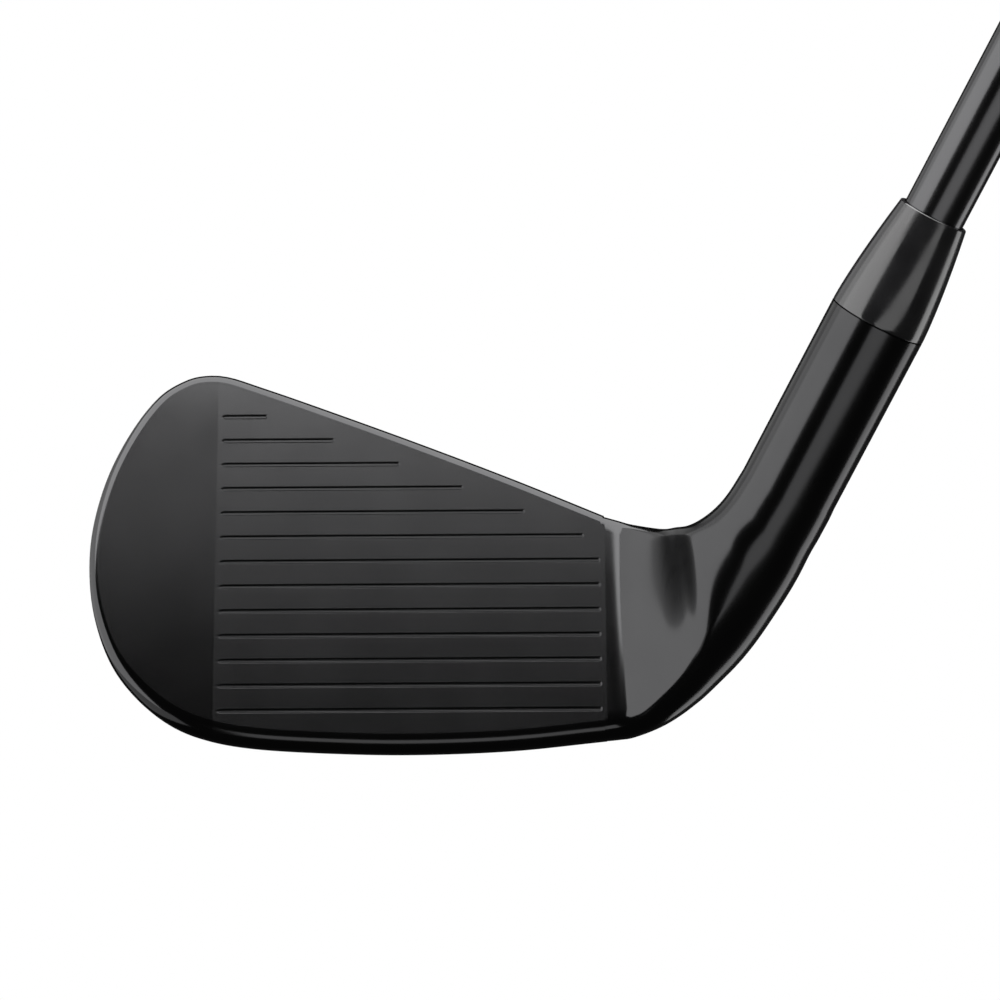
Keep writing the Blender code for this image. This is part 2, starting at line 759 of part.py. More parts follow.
def add_inserts():
    form = add_cutter("cavity_form", cavity_mesh("cavity_form"), address)
    shrink = form.modifiers.new("shrink", "DISPLACE")
    shrink.mid_level = 0
    shrink.strength = -INSERT_GAP
    weight_heights = (0, WEIGHT_TOP)
    insert("toe_weight", TOE_WEIGHT_SPAN, weight_heights, tungsten, form)
    insert("heel_weight", HEEL_WEIGHT_SPAN, weight_heights, tungsten, form)
    insert("damping_core", CORE_SPAN, CORE_HEIGHTS, polymer, form)
    floor = UPPER_THICKNESS - BADGE_RECESS + BOND_GAP
    outline = badge_outline(CLEARANCE)
    tape = prism("badge_adhesive", outline, floor, floor + ADHESIVE_THICKNESS)
    add_part("badge_adhesive", tape, foam_tape, address)
    floor += ADHESIVE_THICKNESS + BOND_GAP
    badge = prism("back_badge", outline, floor, floor + BADGE_THICKNESS)
    add_part("back_badge", badge, badge_metal, address)


def add_shaft():
    butt = CLUB_LENGTH - CAP_THICKNESS - CLEARANCE
    add_turned("shaft", sleeve(SHAFT_TIP, butt, -SHAFT_WALL, 0), black_shaft)
    bond_top = HOSEL_TOP - CLEARANCE
    bond = sleeve(SHAFT_TIP, bond_top, BOND_GAP, BOND_GAP + BOND_THICKNESS)
    add_turned("hosel_bond", bond, epoxy)
    add_turned("ferrule", ferrule_profile(), black_plastic)
    weight_radius = SHAFT_TIP_RADIUS - SHAFT_WALL - CLEARANCE
    low, high = SHAFT_TIP, SHAFT_TIP + TIP_WEIGHT_LENGTH
    weight = [(0, high), (weight_radius, high), (weight_radius, low), (0, low)]
    add_turned("tip_weight", weight, tungsten, closed=False)


def add_grip():
    tape_top = CLUB_LENGTH - CAP_THICKNESS - CLEARANCE
    tape = sleeve(GRIP_MOUTH, tape_top, TAPE_GAP, TAPE_GAP + TAPE_THICKNESS)
    add_turned("grip_tape", tape, foam_tape)
    add_turned("grip", grip_profile(), rubber)
    add_turned("grip_cap", cap_profile(), rubber)


add_head()
add_face_plate()
add_inserts()
add_shaft()
add_grip()
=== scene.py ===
"""Studio scene of a right-handed iron golf club, standing at address on a pale floor.

The club is put together in the order of its making: the hollow head, its face, what is inside
it, the badge, the shaft, the ferrule and the grip. Lengths are in metres.
"""

import bisect
import math

import bmesh
import bpy
from mathutils import Matrix, Vector


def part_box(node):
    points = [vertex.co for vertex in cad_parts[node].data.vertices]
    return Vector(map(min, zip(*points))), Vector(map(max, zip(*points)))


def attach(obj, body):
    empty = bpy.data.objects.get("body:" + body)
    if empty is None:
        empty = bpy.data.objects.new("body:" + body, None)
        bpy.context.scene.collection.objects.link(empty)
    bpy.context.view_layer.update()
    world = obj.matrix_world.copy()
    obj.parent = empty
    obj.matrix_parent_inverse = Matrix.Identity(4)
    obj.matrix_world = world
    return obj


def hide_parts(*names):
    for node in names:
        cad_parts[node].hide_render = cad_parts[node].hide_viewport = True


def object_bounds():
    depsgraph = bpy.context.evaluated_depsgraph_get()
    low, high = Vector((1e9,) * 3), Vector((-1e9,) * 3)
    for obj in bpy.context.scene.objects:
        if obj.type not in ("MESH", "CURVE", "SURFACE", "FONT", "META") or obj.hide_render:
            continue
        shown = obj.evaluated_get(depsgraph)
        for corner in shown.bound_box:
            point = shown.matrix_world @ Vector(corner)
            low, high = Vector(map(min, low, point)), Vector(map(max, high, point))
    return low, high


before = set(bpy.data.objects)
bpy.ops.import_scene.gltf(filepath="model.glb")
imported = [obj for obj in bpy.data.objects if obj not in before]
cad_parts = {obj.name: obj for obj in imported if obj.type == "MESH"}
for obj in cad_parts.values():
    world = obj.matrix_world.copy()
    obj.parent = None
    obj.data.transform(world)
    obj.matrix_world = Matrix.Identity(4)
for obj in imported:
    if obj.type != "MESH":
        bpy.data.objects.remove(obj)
cad_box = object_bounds()
for leftover in ("Cube", "Light", "Camera"):
    if leftover in bpy.data.objects:
        bpy.data.objects.remove(bpy.data.objects[leftover])


# Head body
# A hollow head of forged steel, milled and polished, then given a thin satin black coating.
# The blade is thin behind the face and thick along the sole, and it flows round the heel into
# the hosel, which is bored for the shaft.

MM = 0.001
LOFT = math.radians(34)
LIE = math.radians(63.25)
HANDS_TO_GROUND = 800 * MM
LEADING_EDGE_AHEAD = 4.1 * MM
LEADING_EDGE_HEIGHT = 3.2 * MM
BLADE_OUTLINE = [
    # along the face and up it, in mm, from the heel over the topline, the toe and the sole
    (-6.1, 35.85), (-20, 41.95), (-35, 48.12), (-50, 54), (-58, 57), (-62.5, 58.57),
    (-65.8, 58.9), (-69.2, 58.15), (-73.3, 55.45), (-77.3, 49.95), (-80.7, 42.75), (-82.7, 35),
    (-83.15, 28), (-82.3, 20.8), (-79.9, 13.8), (-76.2, 8.5), (-71.1, 4.15), (-65.5, 1.65),
    (-58, 0.2), (-46, -0.6), (-34, -0.85), (-20, -0.35), (-6.1, 1.05),
]
TOE_UPPER, TOE_LOWER = 10, 14  # points of the outline between which the toe is capped
TOPLINE_EDGE_RADIUS, LEADING_EDGE_RADIUS, BACK_EDGE_RADIUS = 1.45 * MM, 2.5 * MM, 1.2 * MM
TOPLINE_SWEEP, SOLE_SWEEP = 90, 114  # degrees that the rounded corner turns through
SOLE_RISE = 10 * MM
SOLE_CAMBER = 0.8 * MM
SOLE_BULGE_WAY = Vector((1, -0.6)).normalized()
UPPER_THICKNESS, MUSCLE_THICKNESS = 6.6 * MM, 15 * MM
MUSCLE_TOP, MUSCLE_FOOT, MUSCLE_FOOT_SLOPE = 25 * MM, 14 * MM, 0.45
MUSCLE_TOE_START, MUSCLE_TOE_END = -86 * MM, -70 * MM
HEEL_PIVOT = (2 * MM, 50 * MM)
HEEL_SECTIONS = [
    # x of the section, turn in degrees, inner and outer reach from the pivot, roundness
    (-4.1, 0, 18.1, 47.5, 0.065),
    (-2, 0, 18.25, 47.1, 0.175),
    (2, 0, 17.75, 45.45, 0.455),
    (2, 7.5, 16.6, 41.95, 0.72),
    (2, 15, 15.85, 38.5, 0.915),
    (2, 30, 14.8, 32.9, 1),
    (2, 45, 13.95, 29.4, 1),
    (2, 54, 13.6, 28.35, 1),
]
HOSEL_CORNER_ANGLES = (160, 88, -60, -150, -200)  # degrees, from the outer side forwards
HOSEL_RADIUS = 7.2 * MM
HOSEL_TOP = 73.07 * MM
BORE_RADIUS = 5.2 * MM
BORE_DEPTH = 32 * MM
BORE_SEGMENTS = 64
FRONT_CELLS, RIM_CELLS = 24, 24
TOE_COLUMNS, BLADE_COLUMNS, TOE_SHARE = 40, 50, 0.27
HEEL_STEPS = 10
SAMPLES_PER_SPAN = 24
TOUCHING = 0.001 * MM
SHARP_ANGLE = math.radians(32)
FLAT_ENOUGH = 0.99999

shaft_direction = Vector((math.cos(LIE), 0, math.sin(LIE)))
foot_of_axis = -HANDS_TO_GROUND * shaft_direction
shaft_frame = Matrix.Translation(foot_of_axis) @ Matrix.Rotation(math.pi / 2 - LIE, 4, "Y")


def mix(first, second, share):
    """Value between two others: the first at share 0, the second at share 1."""
    return first + (second - first) * share


def ease(value):
    """Smooth rise from 0 to 1."""
    value = min(max(value, 0), 1)
    return value * value * (3 - 2 * value)


def on_head(x, up_face, depth):
    """Place of a point given along the face, up the face and back into the head."""
    y = up_face * math.sin(LOFT) + depth * math.cos(LOFT) - LEADING_EDGE_AHEAD
    z = up_face * math.cos(LOFT) - depth * math.sin(LOFT) + LEADING_EDGE_HEIGHT
    return foot_of_axis + Vector((x, y, z))


def faired_line(points, per_span):
    """A smooth curve through the points, and the distance along it to each of its samples."""
    points = [2 * points[0] - points[1], *points, 2 * points[-1] - points[-2]]
    line = []
    for i in range(1, len(points) - 2):
        before, start, end, after = points[i - 1 : i + 3]
        for step in range(per_span):
            t = step / per_span
            bend = (2 * before - 5 * start + 4 * end - after) * t**2
            twist = (3 * start - before - 3 * end + after) * t**3
            line.append(0.5 * (2 * start + (end - before) * t + bend + twist))
    line.append(points[-2])
    lengths = [0]
    for first, second in zip(line, line[1:]):
        lengths.append(lengths[-1] + (second - first).length)
    return line, lengths


blade_line, blade_lengths = faired_line([Vector(p) * MM for p in BLADE_OUTLINE], SAMPLES_PER_SPAN)


def edge_at(distance):
    """Point and outward normal of the blade's edge at a distance along it."""
    i = bisect.bisect_right(blade_lengths, distance) - 1
    i = min(max(i, 0), len(blade_line) - 2)
    share = (distance - blade_lengths[i]) / (blade_lengths[i + 1] - blade_lengths[i])
    point = blade_line[i].lerp(blade_line[i + 1], share)
    ways = []
    for k in (i, i + 1):
        before, after = blade_line[max(k - 1, 0)], blade_line[min(k + 1, len(blade_line) - 1)]
        ways.append((after - before).normalized())
    along = ways[0].lerp(ways[1], share).normalized()
    return point, Vector((along.y, -along.x))


def height_on(line, x):
    """Height of a run of the blade's edge at x; the run starts at the heel."""
    for first, second in zip(line, line[1:]):
        if second.x <= x:
            return mix(first.y, second.y, (x - first.x) / (second.x - first.x))
    return line[-1].y


def back_depth(x, up_face):
    """Depth of the back behind the face: thin above, a thick muscle along the sole."""
    fullness = ease((x - MUSCLE_TOE_START) / (MUSCLE_TOE_END - MUSCLE_TOE_START))
    muscle = ease((MUSCLE_TOP - up_face) / (MUSCLE_TOP - MUSCLE_FOOT)) * fullness
    tail = MUSCLE_FOOT_SLOPE * max(MUSCLE_FOOT - up_face, 0) * fullness
    return UPPER_THICKNESS + (MUSCLE_THICKNESS - UPPER_THICKNESS) * muscle + tail


def rim_section(distance):
    """The rim from the face edge over its rounded corner and the sole to the back edge."""
    point, normal = edge_at(distance)
    sole = ease(-normal.y)
    radius = mix(TOPLINE_EDGE_RADIUS, LEADING_EDGE_RADIUS, sole)
    sweep = math.radians(mix(TOPLINE_SWEEP, SOLE_SWEEP, sole))

    def at_back(outward):
        place = point + normal * outward
        return Vector((outward, back_depth(place.x, place.y)))

    corner = at_back(-SOLE_RISE * sole)
    back_edge = at_back(-SOLE_RISE * sole - BACK_EDGE_RADIUS)
    arc_cells, wall_cells, back_cells = RIM_CELLS // 2, RIM_CELLS // 4, RIM_CELLS // 4
    section = []
    for step in range(arc_cells + 1):
        angle = sweep * step / arc_cells
        section.append(Vector((math.sin(angle) - 1, 1 - math.cos(angle))) * radius)
    arc_end = section[-1]
    wall_end = corner + (arc_end - corner).normalized() * BACK_EDGE_RADIUS
    bulge = SOLE_BULGE_WAY * SOLE_CAMBER * sole
    for step in range(1, wall_cells + 1):
        t = step / wall_cells
        section.append(arc_end.lerp(wall_end, t) + bulge * 4 * t * (1 - t))
    for step in range(1, back_cells + 1):
        t = step / back_cells
        section.append(wall_end * (1 - t) ** 2 + corner * 2 * t * (1 - t) + back_edge * t**2)
    rim = []
    for outward, depth in section:
        place = point + normal * outward
        rim.append(Vector((place.x, place.y, depth)))
    return rim


def blade_stations():
    """Pairs of distances along the edge, on the topline and on the sole, from toe to heel."""
    start = blade_lengths[TOE_UPPER * SAMPLES_PER_SPAN]
    end = blade_lengths[TOE_LOWER * SAMPLES_PER_SPAN]
    shares = [TOE_SHARE * i / TOE_COLUMNS for i in range(TOE_COLUMNS)]
    shares += [mix(TOE_SHARE, 1, i / BLADE_COLUMNS) for i in range(BLADE_COLUMNS + 1)]
    return [(mix(start, 0, s), mix(end, blade_lengths[-1], s)) for s in shares]


def stretched_between(top, bottom, left, right):
    """Grid of points stretched between four border lines, in columns from left to right."""
    grid = []
    for k in range(len(top)):
        v = k / (len(top) - 1)
        column = []
        for i in range(len(left)):
            u = i / (len(left) - 1)
            corners = mix(mix(top[0], bottom[0], u), mix(top[-1], bottom[-1], u), v)
            column.append(mix(top[k], bottom[k], u) + mix(left[i], right[i], v) - corners)
        grid.append(column)
    return grid


stations = blade_stations()
top_rims = [rim_section(top) for top, _ in stations]
sole_rims = [rim_section(bottom) for _, bottom in stations]
toe_rims = [rim_section(mix(*stations[0], i / FRONT_CELLS)) for i in range(FRONT_CELLS + 1)]
skins = []
for border in (0, -1):
    top_border = [rim[border] for rim in top_rims]
    bottom_border = [rim[border] for rim in sole_rims]
    toe_border = [rim[border] for rim in toe_rims]
    ends = (top_border[-1], bottom_border[-1])
    heel_border = [mix(*ends, i / FRONT_CELLS) for i in range(FRONT_CELLS + 1)]
    skins.append(stretched_between(top_border, bottom_border, toe_border, heel_border))
front_skin, back_skin = skins
for column in back_skin:
    for point in column[1:-1]:
        point.z = back_depth(point.x, point.y)


def hosel_angles():
    """Angle round the hosel of each point of a section, from the inner side over the front."""
    runs = (FRONT_CELLS, RIM_CELLS, FRONT_CELLS, RIM_CELLS)
    angles = []
    for cells, start, end in zip(runs, HOSEL_CORNER_ANGLES, HOSEL_CORNER_ANGLES[1:]):
        angles += [math.radians(mix(start, end, i / cells)) for i in range(cells)]
    return angles


def heel_sections(blade_end):
    """Sections from the heel end of the blade round the bend to the top of the hosel."""
    pivot_x, pivot_z = HEEL_PIVOT
    reach = [pivot_z - point.z for point in blade_end]
    lean = math.pi / 2 - LIE
    axis_reach = pivot_z * math.sin(lean) - pivot_x * math.cos(lean)
    near, far = (axis_reach - HOSEL_RADIUS) / MM, (axis_reach + HOSEL_RADIUS) / MM
    last = (pivot_x / MM, math.degrees(LIE), near, far, 1)
    start = (blade_end[0].x / MM, 0, min(reach) / MM, max(reach) / MM, 0)
    curve, _ = faired_line([Vector(s) for s in (start, *HEEL_SECTIONS, last)], HEEL_STEPS)
    sections = []
    for x, turn, near, far, roundness in curve[1:]:
        turn = math.radians(turn)
        centre = pivot_z * math.cos(LIE) - x * MM * math.sin(LIE)
        centre /= math.cos(LIE - turn)
        places = []
        for point, start_reach, angle in zip(blade_end, reach, hosel_angles()):
            round_reach = centre + HOSEL_RADIUS * math.cos(angle)
            depth = mix(point.y, -HOSEL_RADIUS * math.sin(angle), roundness)
            places.append((mix(start_reach, round_reach, roundness), depth))
        shortest = min(distance for distance, _ in places)
        longest = max(distance for distance, _ in places)
        section = []
        for distance, depth in places:
            distance = mix(near, far, (distance - shortest) / (longest - shortest)) * MM
            place_x = x * MM + distance * math.sin(turn)
            section.append(Vector((place_x, depth, pivot_z - distance * math.cos(turn))))
        sections.append(section)
    rise = HOSEL_TOP - (pivot_x * math.cos(LIE) + pivot_z * math.sin(LIE))
    sections.append([point + shaft_direction * rise for point in sections[-1]])
    return sections


def closed_mesh(bm, name, smooth_angle=None):
    """Turns a bmesh into a mesh with its doubles merged and its faces outwards."""
    bmesh.ops.remove_doubles(bm, verts=bm.verts, dist=TOUCHING)
    bmesh.ops.recalc_face_normals(bm, faces=bm.faces)
    mesh = bpy.data.meshes.new(name)
    bm.to_mesh(mesh)
    bm.free()
    if smooth_angle is not None:
        mesh.shade_smooth()
        mesh.set_sharp_from_angle(angle=smooth_angle)
    return mesh


def head_shell():
    """The outside of the head as one closed skin."""
    sections = []
    for k in range(len(stations)):
        section = [*front_skin[k], *sole_rims[k][1:-1]]
        section += [*reversed(back_skin[k]), *reversed(top_rims[k][1:-1])]
        sections.append([on_head(*point) - foot_of_axis for point in section])
    sections += heel_sections(sections[-1])
    bm = bmesh.new()
    rings = [[bm.verts.new(foot_of_axis + point) for point in section] for section in sections]
    size = len(rings[0])
    for near, far in zip(rings, rings[1:]):
        for i in range(size):
            j = (i + 1) % size
            bm.faces.new((near[i], near[j], far[j], far[i]))
    bm.faces.new(rings[-1])
    toe_cap = []
    for i, rim in enumerate(toe_rims):
        row = [rings[0][i]]
        for j in range(1, RIM_CELLS):
            if i == 0:
                row.append(rings[0][size - j])
            elif i == FRONT_CELLS:
                row.append(rings[0][FRONT_CELLS + j])
            else:
                row.append(bm.verts.new(on_head(*rim[j])))
        row.append(rings[0][2 * FRONT_CELLS + RIM_CELLS - i])
        toe_cap.append(row)
    for upper, lower in zip(toe_cap, toe_cap[1:]):
        for j in range(RIM_CELLS):
            bm.faces.new((upper[j], upper[j + 1], lower[j + 1], lower[j]))
    return closed_mesh(bm, "head_body_finished")


def inset_edge(margin):
    """The flat face's edge moved inwards, from the heel round the toe and back to the heel."""
    distances = [top for top, _ in reversed(stations)]
    distances += [mix(*stations[0], i / FRONT_CELLS) for i in range(1, FRONT_CELLS)]
    distances += [bottom for _, bottom in stations]
    line = []
    for distance in distances:
        point, normal = edge_at(distance)
        rounding = mix(TOPLINE_EDGE_RADIUS, LEADING_EDGE_RADIUS, ease(-normal.y))
        line.append(point - normal * (rounding + margin))
    return line


def reach_heel(inner, outer, heel):
    """Point in line with two others, at the heel's x."""
    return inner.lerp(outer, (heel - inner.x) / (outer.x - inner.x))


FACE_THICKNESS, FACE_GAP = 2.2 * MM, 0.25 * MM
FACE_RIM = 0.3 * MM
FACE_HEEL = -6.1 * MM
CLEAR_OF_HEEL = 0.25 * MM


def face_outline(margin, heel):
    """Closed outline of the face, cut straight across at the heel."""
    inside = [point for point in inset_edge(margin) if point.x < heel - CLEAR_OF_HEEL]
    top = reach_heel(inside[1], inside[0], heel)
    bottom = reach_heel(inside[-2], inside[-1], heel)
    return [top, *inside, bottom]


def slab(name, outline, near, far):
    """A plate of the given outline between two depths behind the face."""
    bm = bmesh.new()
    front = [bm.verts.new(on_head(x, v, near)) for x, v in outline]
    back = [bm.verts.new(on_head(x, v, far)) for x, v in outline]
    bm.faces.new(front)
    bm.faces.new(back)
    for i in range(len(front)):
        j = (i + 1) % len(front)
        bm.faces.new((front[i], front[j], back[j], back[i]))
    return closed_mesh(bm, name)


BACK_WALL, SOLE_WALL, RIM_WALL = 2.4 * MM, 2.6 * MM, 3.4 * MM
HOLLOW_FLOOR, HOLLOW_TOE_GAP = 4.6 * MM, 0.8 * MM
HOLLOW_SOLE_DEPTH, HOLLOW_LEAST_DEPTH = 4 * MM, 1.4 * MM
HOLLOW_COLUMNS, HOLLOW_ROWS = 24, 12
sole_run = list(reversed(blade_line[TOE_LOWER * SAMPLES_PER_SPAN :]))
topline_run = blade_line[: TOE_UPPER * SAMPLES_PER_SPAN]


def hollow():
    """The hollow behind the face, which leaves a wall at the back, the sole and the rim."""
    outline = face_outline(RIM_WALL, FACE_HEEL - RIM_WALL)
    toe = min(point.x for point in outline) + HOLLOW_TOE_GAP
    bm = bmesh.new()
    columns = []
    for k in range(HOLLOW_COLUMNS + 1):
        x = mix(toe, FACE_HEEL - RIM_WALL, k / HOLLOW_COLUMNS)
        heights = []
        for first, second in zip(outline, outline[1:] + outline[:1]):
            if min(first.x, second.x) <= x <= max(first.x, second.x) and first.x != second.x:
                heights.append(mix(first.y, second.y, (x - first.x) / (second.x - first.x)))
        sole = height_on(sole_run, x)
        low, high = max(min(heights), sole + HOLLOW_FLOOR), max(heights)
        column = []
        for i in range(HOLLOW_ROWS + 1):
            up_face = mix(high, low, i / HOLLOW_ROWS)
            above_sole = up_face - sole - SOLE_WALL / math.cos(LOFT)
            over_sole = HOLLOW_SOLE_DEPTH + above_sole / math.tan(LOFT)
            deep = min(back_depth(x, up_face) - BACK_WALL, over_sole)
            deep = max(deep, FACE_THICKNESS + HOLLOW_LEAST_DEPTH)
            near = bm.verts.new(on_head(x, up_face, FACE_THICKNESS))
            column.append((near, bm.verts.new(on_head(x, up_face, deep))))
        columns.append(column)
    for near, far in zip(columns, columns[1:]):
        for a, b, c, d in zip(near, near[1:], far[1:], far):
            bm.faces.new((a[0], b[0], c[0], d[0]))
            bm.faces.new((a[1], b[1], c[1], d[1]))
        for row in (0, -1):
            bm.faces.new((near[row][0], far[row][0], far[row][1], near[row][1]))
    for column in (columns[0], columns[-1]):
        for a, b in zip(column, column[1:]):
            bm.faces.new((a[0], b[0], b[1], a[1]))
    return closed_mesh(bm, "hollow")


def lathe(name, profile, segments, smooth_angle=None):
    """Solid turned about the shaft's axis from a closed run of (radius, height) points."""
    bm = bmesh.new()
    rings = []
    for radius, height in profile:
        if radius == 0:
            rings.append([bm.verts.new((0, 0, height))] * segments)
            continue
        ring = []
        for step in range(segments):
            angle = 2 * math.pi * step / segments
            ring.append(bm.verts.new((radius * math.cos(angle), radius * math.sin(angle), height)))
        rings.append(ring)
    for near, far in zip(rings, rings[1:] + rings[:1]):
        for i in range(segments):
            j = (i + 1) % segments
            corners = list(dict.fromkeys((near[i], near[j], far[j], far[i])))
            if len(corners) > 2:
                bm.faces.new(corners)
    return closed_mesh(bm, name, smooth_angle)


def add_piece(name, mesh):
    """Puts a mesh into the scene as an object of its own."""
    piece = bpy.data.objects.new(name, mesh)
    bpy.context.scene.collection.objects.link(piece)
    return piece


def settle(piece):
    """Replaces a piece's mesh by what its modifiers make of it, and removes them."""
    bpy.context.view_layer.update()
    evaluated = piece.evaluated_get(bpy.context.evaluated_depsgraph_get())
    made = bpy.data.meshes.new_from_object(evaluated)
    piece.modifiers.clear()
    piece.data = made


def cut_away(piece, tools):
    """Cuts each tool from the piece in turn and leaves one plain mesh."""
    for tool in tools:
        cut = piece.modifiers.new(tool.name, "BOOLEAN")
        cut.operation = "DIFFERENCE"
        cut.solver = "EXACT"
        cut.object = tool
    settle(piece)
    for tool in tools:
        bpy.data.objects.remove(tool)


def shade(mesh, flat):
    """Smooth shading between sharp edges; what faces the same way as flat stays truly flat."""
    mesh.shade_smooth()
    mesh.set_sharp_from_angle(angle=SHARP_ANGLE)
    for polygon in mesh.polygons:
        if polygon.normal.dot(flat) > FLAT_ENOUGH:
            polygon.use_smooth = False


BADGE_SPAN = (-62 * MM, -20 * MM)
BADGE_FOOT, BADGE_TOE_HEIGHT, BADGE_BELOW_TOPLINE = 28.5 * MM, 48 * MM, 5.5 * MM
BADGE_RECESS = 1.1 * MM
SEARCH_STEP = 0.1 * MM
CUT_OVERRUN = 1 * MM


def badge_outline(margin):
    """Outline of the badge's recess moved inwards: a foot, a heel side and a slanting top."""
    left, right = BADGE_SPAN[0] + margin, BADGE_SPAN[1] - margin
    foot, head = BADGE_FOOT + margin, BADGE_TOE_HEIGHT - margin
    below = BADGE_BELOW_TOPLINE + margin
    shoulder = right
    while height_on(topline_run, shoulder) - below < head:
        shoulder -= SEARCH_STEP
    corners = [(left, foot), (right, foot), (right, height_on(topline_run, right) - below)]
    return [Vector(p) for p in (*corners, (shoulder, head), (left, head))]


head_body = add_piece("head_body_finished", head_shell())
pocket_outline = face_outline(FACE_RIM, FACE_HEEL)
pocket = slab("face_pocket", pocket_outline, -CUT_OVERRUN, FACE_THICKNESS + FACE_GAP)
recess_floor = UPPER_THICKNESS - BADGE_RECESS
recess = slab("badge_recess", badge_outline(0), recess_floor, UPPER_THICKNESS + CUT_OVERRUN)
bore_top, bore_floor = HOSEL_TOP + CUT_OVERRUN, HOSEL_TOP - BORE_DEPTH
bore_profile = [(0, bore_top), (BORE_RADIUS, bore_top), (BORE_RADIUS, bore_floor), (0, bore_floor)]
bore = lathe("hosel_bore", bore_profile, BORE_SEGMENTS)
bore.transform(shaft_frame)
tools = [add_piece(mesh.name, mesh) for mesh in (pocket, hollow(), recess, bore)]
cut_away(head_body, tools)
face_normal = Vector((0, -math.cos(LOFT), math.sin(LOFT)))
shade(head_body.data, face_normal)


def new_finish(name):
    """A new material, with its node tree and its shader."""
    finish = bpy.data.materials.new(name)
    finish.use_nodes = True
    return finish, finish.node_tree, finish.node_tree.nodes["Principled BSDF"]


def add_node(tree, kind, inputs=(), **settings):
    """Adds a node, gives each named or numbered input a value or a link, and returns it."""
    node = tree.nodes.new(kind)
    for key, value in settings.items():
        setattr(node, key, value)
    for key, value in dict(inputs).items():
        if isinstance(value, bpy.types.NodeSocket):
            tree.links.new(value, node.inputs[key])
        else:
            node.inputs[key].default_value = value
    return node


def reckon(tree, operation, *values):
    """One step of arithmetic in a node tree."""
    return add_node(tree, "ShaderNodeMath", enumerate(values), operation=operation).outputs[0]


def fade(tree, value, start, end, low=0.0, high=1.0):
    """Runs smoothly from low to high as the value goes from start to end."""
    inputs = {"Value": value, "From Min": start, "From Max": end, "To Min": low, "To Max": high}
    return add_node(tree, "ShaderNodeMapRange", inputs, interpolation_type="SMOOTHSTEP").outputs[0]


def grain(tree, place, size, detail=2.0):
    """Noise whose blotches are about size across, from 0 to 1."""
    inputs = {"Vector": place, "Scale": 1 / size, "Detail": detail}
    return add_node(tree, "ShaderNodeTexNoise", inputs).outputs[0]


NOISE_LOW, NOISE_HIGH = 0.3, 0.7


def swing(tree, noise, low, high):
    """Carries a noise, which keeps near its middle, from one value to another."""
    return fade(tree, noise, NOISE_LOW, NOISE_HIGH, low, high)


def turned_to(tree, matrix):
    """Object coordinates seen from a frame given by its matrix."""
    back = matrix.inverted()
    place = add_node(tree, "ShaderNodeTexCoord").outputs["Object"]
    inputs = {"Vector": place, "Location": back.to_translation(), "Rotation": back.to_euler()}
    return add_node(tree, "ShaderNodeMapping", inputs).outputs[0]


def tint(tree, value, dark, light):
    """Colour between two tints, by a value from 0 to 1."""
    node = tree.nodes.new("ShaderNodeMix")
    node.data_type = "RGBA"
    tree.links.new(value, node.inputs["Factor"])
    first, second = [socket for socket in node.inputs if socket.type == "RGBA"]
    first.default_value, second.default_value = (*dark, 1), (*light, 1)
    return next(socket for socket in node.outputs if socket.type == "RGBA")


def roughened(tree, shader, height, relief):
    """Fine relief on the surface, from a height between 0 and 1."""
    inputs = {"Height": height, "Distance": relief, "Strength": 1.0}
    bump = add_node(tree, "ShaderNodeBump", inputs)
    tree.links.new(bump.outputs[0], shader.inputs["Normal"])


BLAST_TOE, BLAST_HEEL, BLAST_EDGE = -64.25 * MM, -6.08 * MM, 0.05 * MM
BLAST_DEPTH, BLAST_END = 3 * MM, 4 * MM
BLAST_GRAIN, BLAST_RELIEF = 0.12 * MM, 0.0009 * MM
POLISHED_RELIEF_SHARE = 0.3
COATING_TINTS, COATING_CLOUDS = ((0.046, 0.046, 0.047), (0.054, 0.054, 0.055)), 9 * MM
COATING_ROUGHNESS, BLAST_HAZE = (0.105, 0.115), (0.035, 0.055)
NECK_START, NECK_END, NECK_HAZE = -4 * MM, 10 * MM, 0.055
face_frame = Matrix.Translation(on_head(0, 0, 0)) @ Matrix.Rotation(-LOFT, 4, "X")


def black_coating(name):
    """Satin black coating on polished steel, duller on the blasted face and on the hosel."""
    finish, tree, shader = new_finish(name)
    shader.inputs["Metallic"].default_value = 1
    place = turned_to(tree, face_frame)
    x, depth, _ = add_node(tree, "ShaderNodeSeparateXYZ", {0: place}).outputs
    toe = fade(tree, x, BLAST_TOE - BLAST_EDGE, BLAST_TOE + BLAST_EDGE)
    heel = fade(tree, x, BLAST_HEEL - BLAST_EDGE, BLAST_HEEL + BLAST_EDGE, 1, 0)
    front = fade(tree, depth, BLAST_DEPTH, BLAST_END, 1, 0)
    blasted = reckon(tree, "MULTIPLY", reckon(tree, "MULTIPLY", toe, heel), front)
    fine = grain(tree, place, BLAST_GRAIN)
    cloudy = grain(tree, place, COATING_CLOUDS, 4)
    tree.links.new(tint(tree, cloudy, *COATING_TINTS), shader.inputs["Base Color"])
    base = swing(tree, cloudy, *COATING_ROUGHNESS)
    extra = reckon(tree, "MULTIPLY", blasted, swing(tree, fine, *BLAST_HAZE))
    neck = fade(tree, x, NECK_START, NECK_END, 0, NECK_HAZE)
    rough = reckon(tree, "ADD", reckon(tree, "ADD", base, extra), neck)
    tree.links.new(rough, shader.inputs["Roughness"])
    blast_share = 1 - POLISHED_RELIEF_SHARE
    share = reckon(tree, "MULTIPLY_ADD", blasted, blast_share, POLISHED_RELIEF_SHARE)
    roughened(tree, shader, reckon(tree, "MULTIPLY", fine, share), BLAST_RELIEF)
    return finish


def dress(piece, finish, slot, *nodes):
    """Gives a finished piece its material and lets it ride in place of its solids."""
    piece.data.materials.clear()
    piece.data.materials.append(finish)
    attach(piece, "root")
    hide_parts(*nodes)


dress(head_body, black_coating("satin_black_head"), "black_head", "head_body")


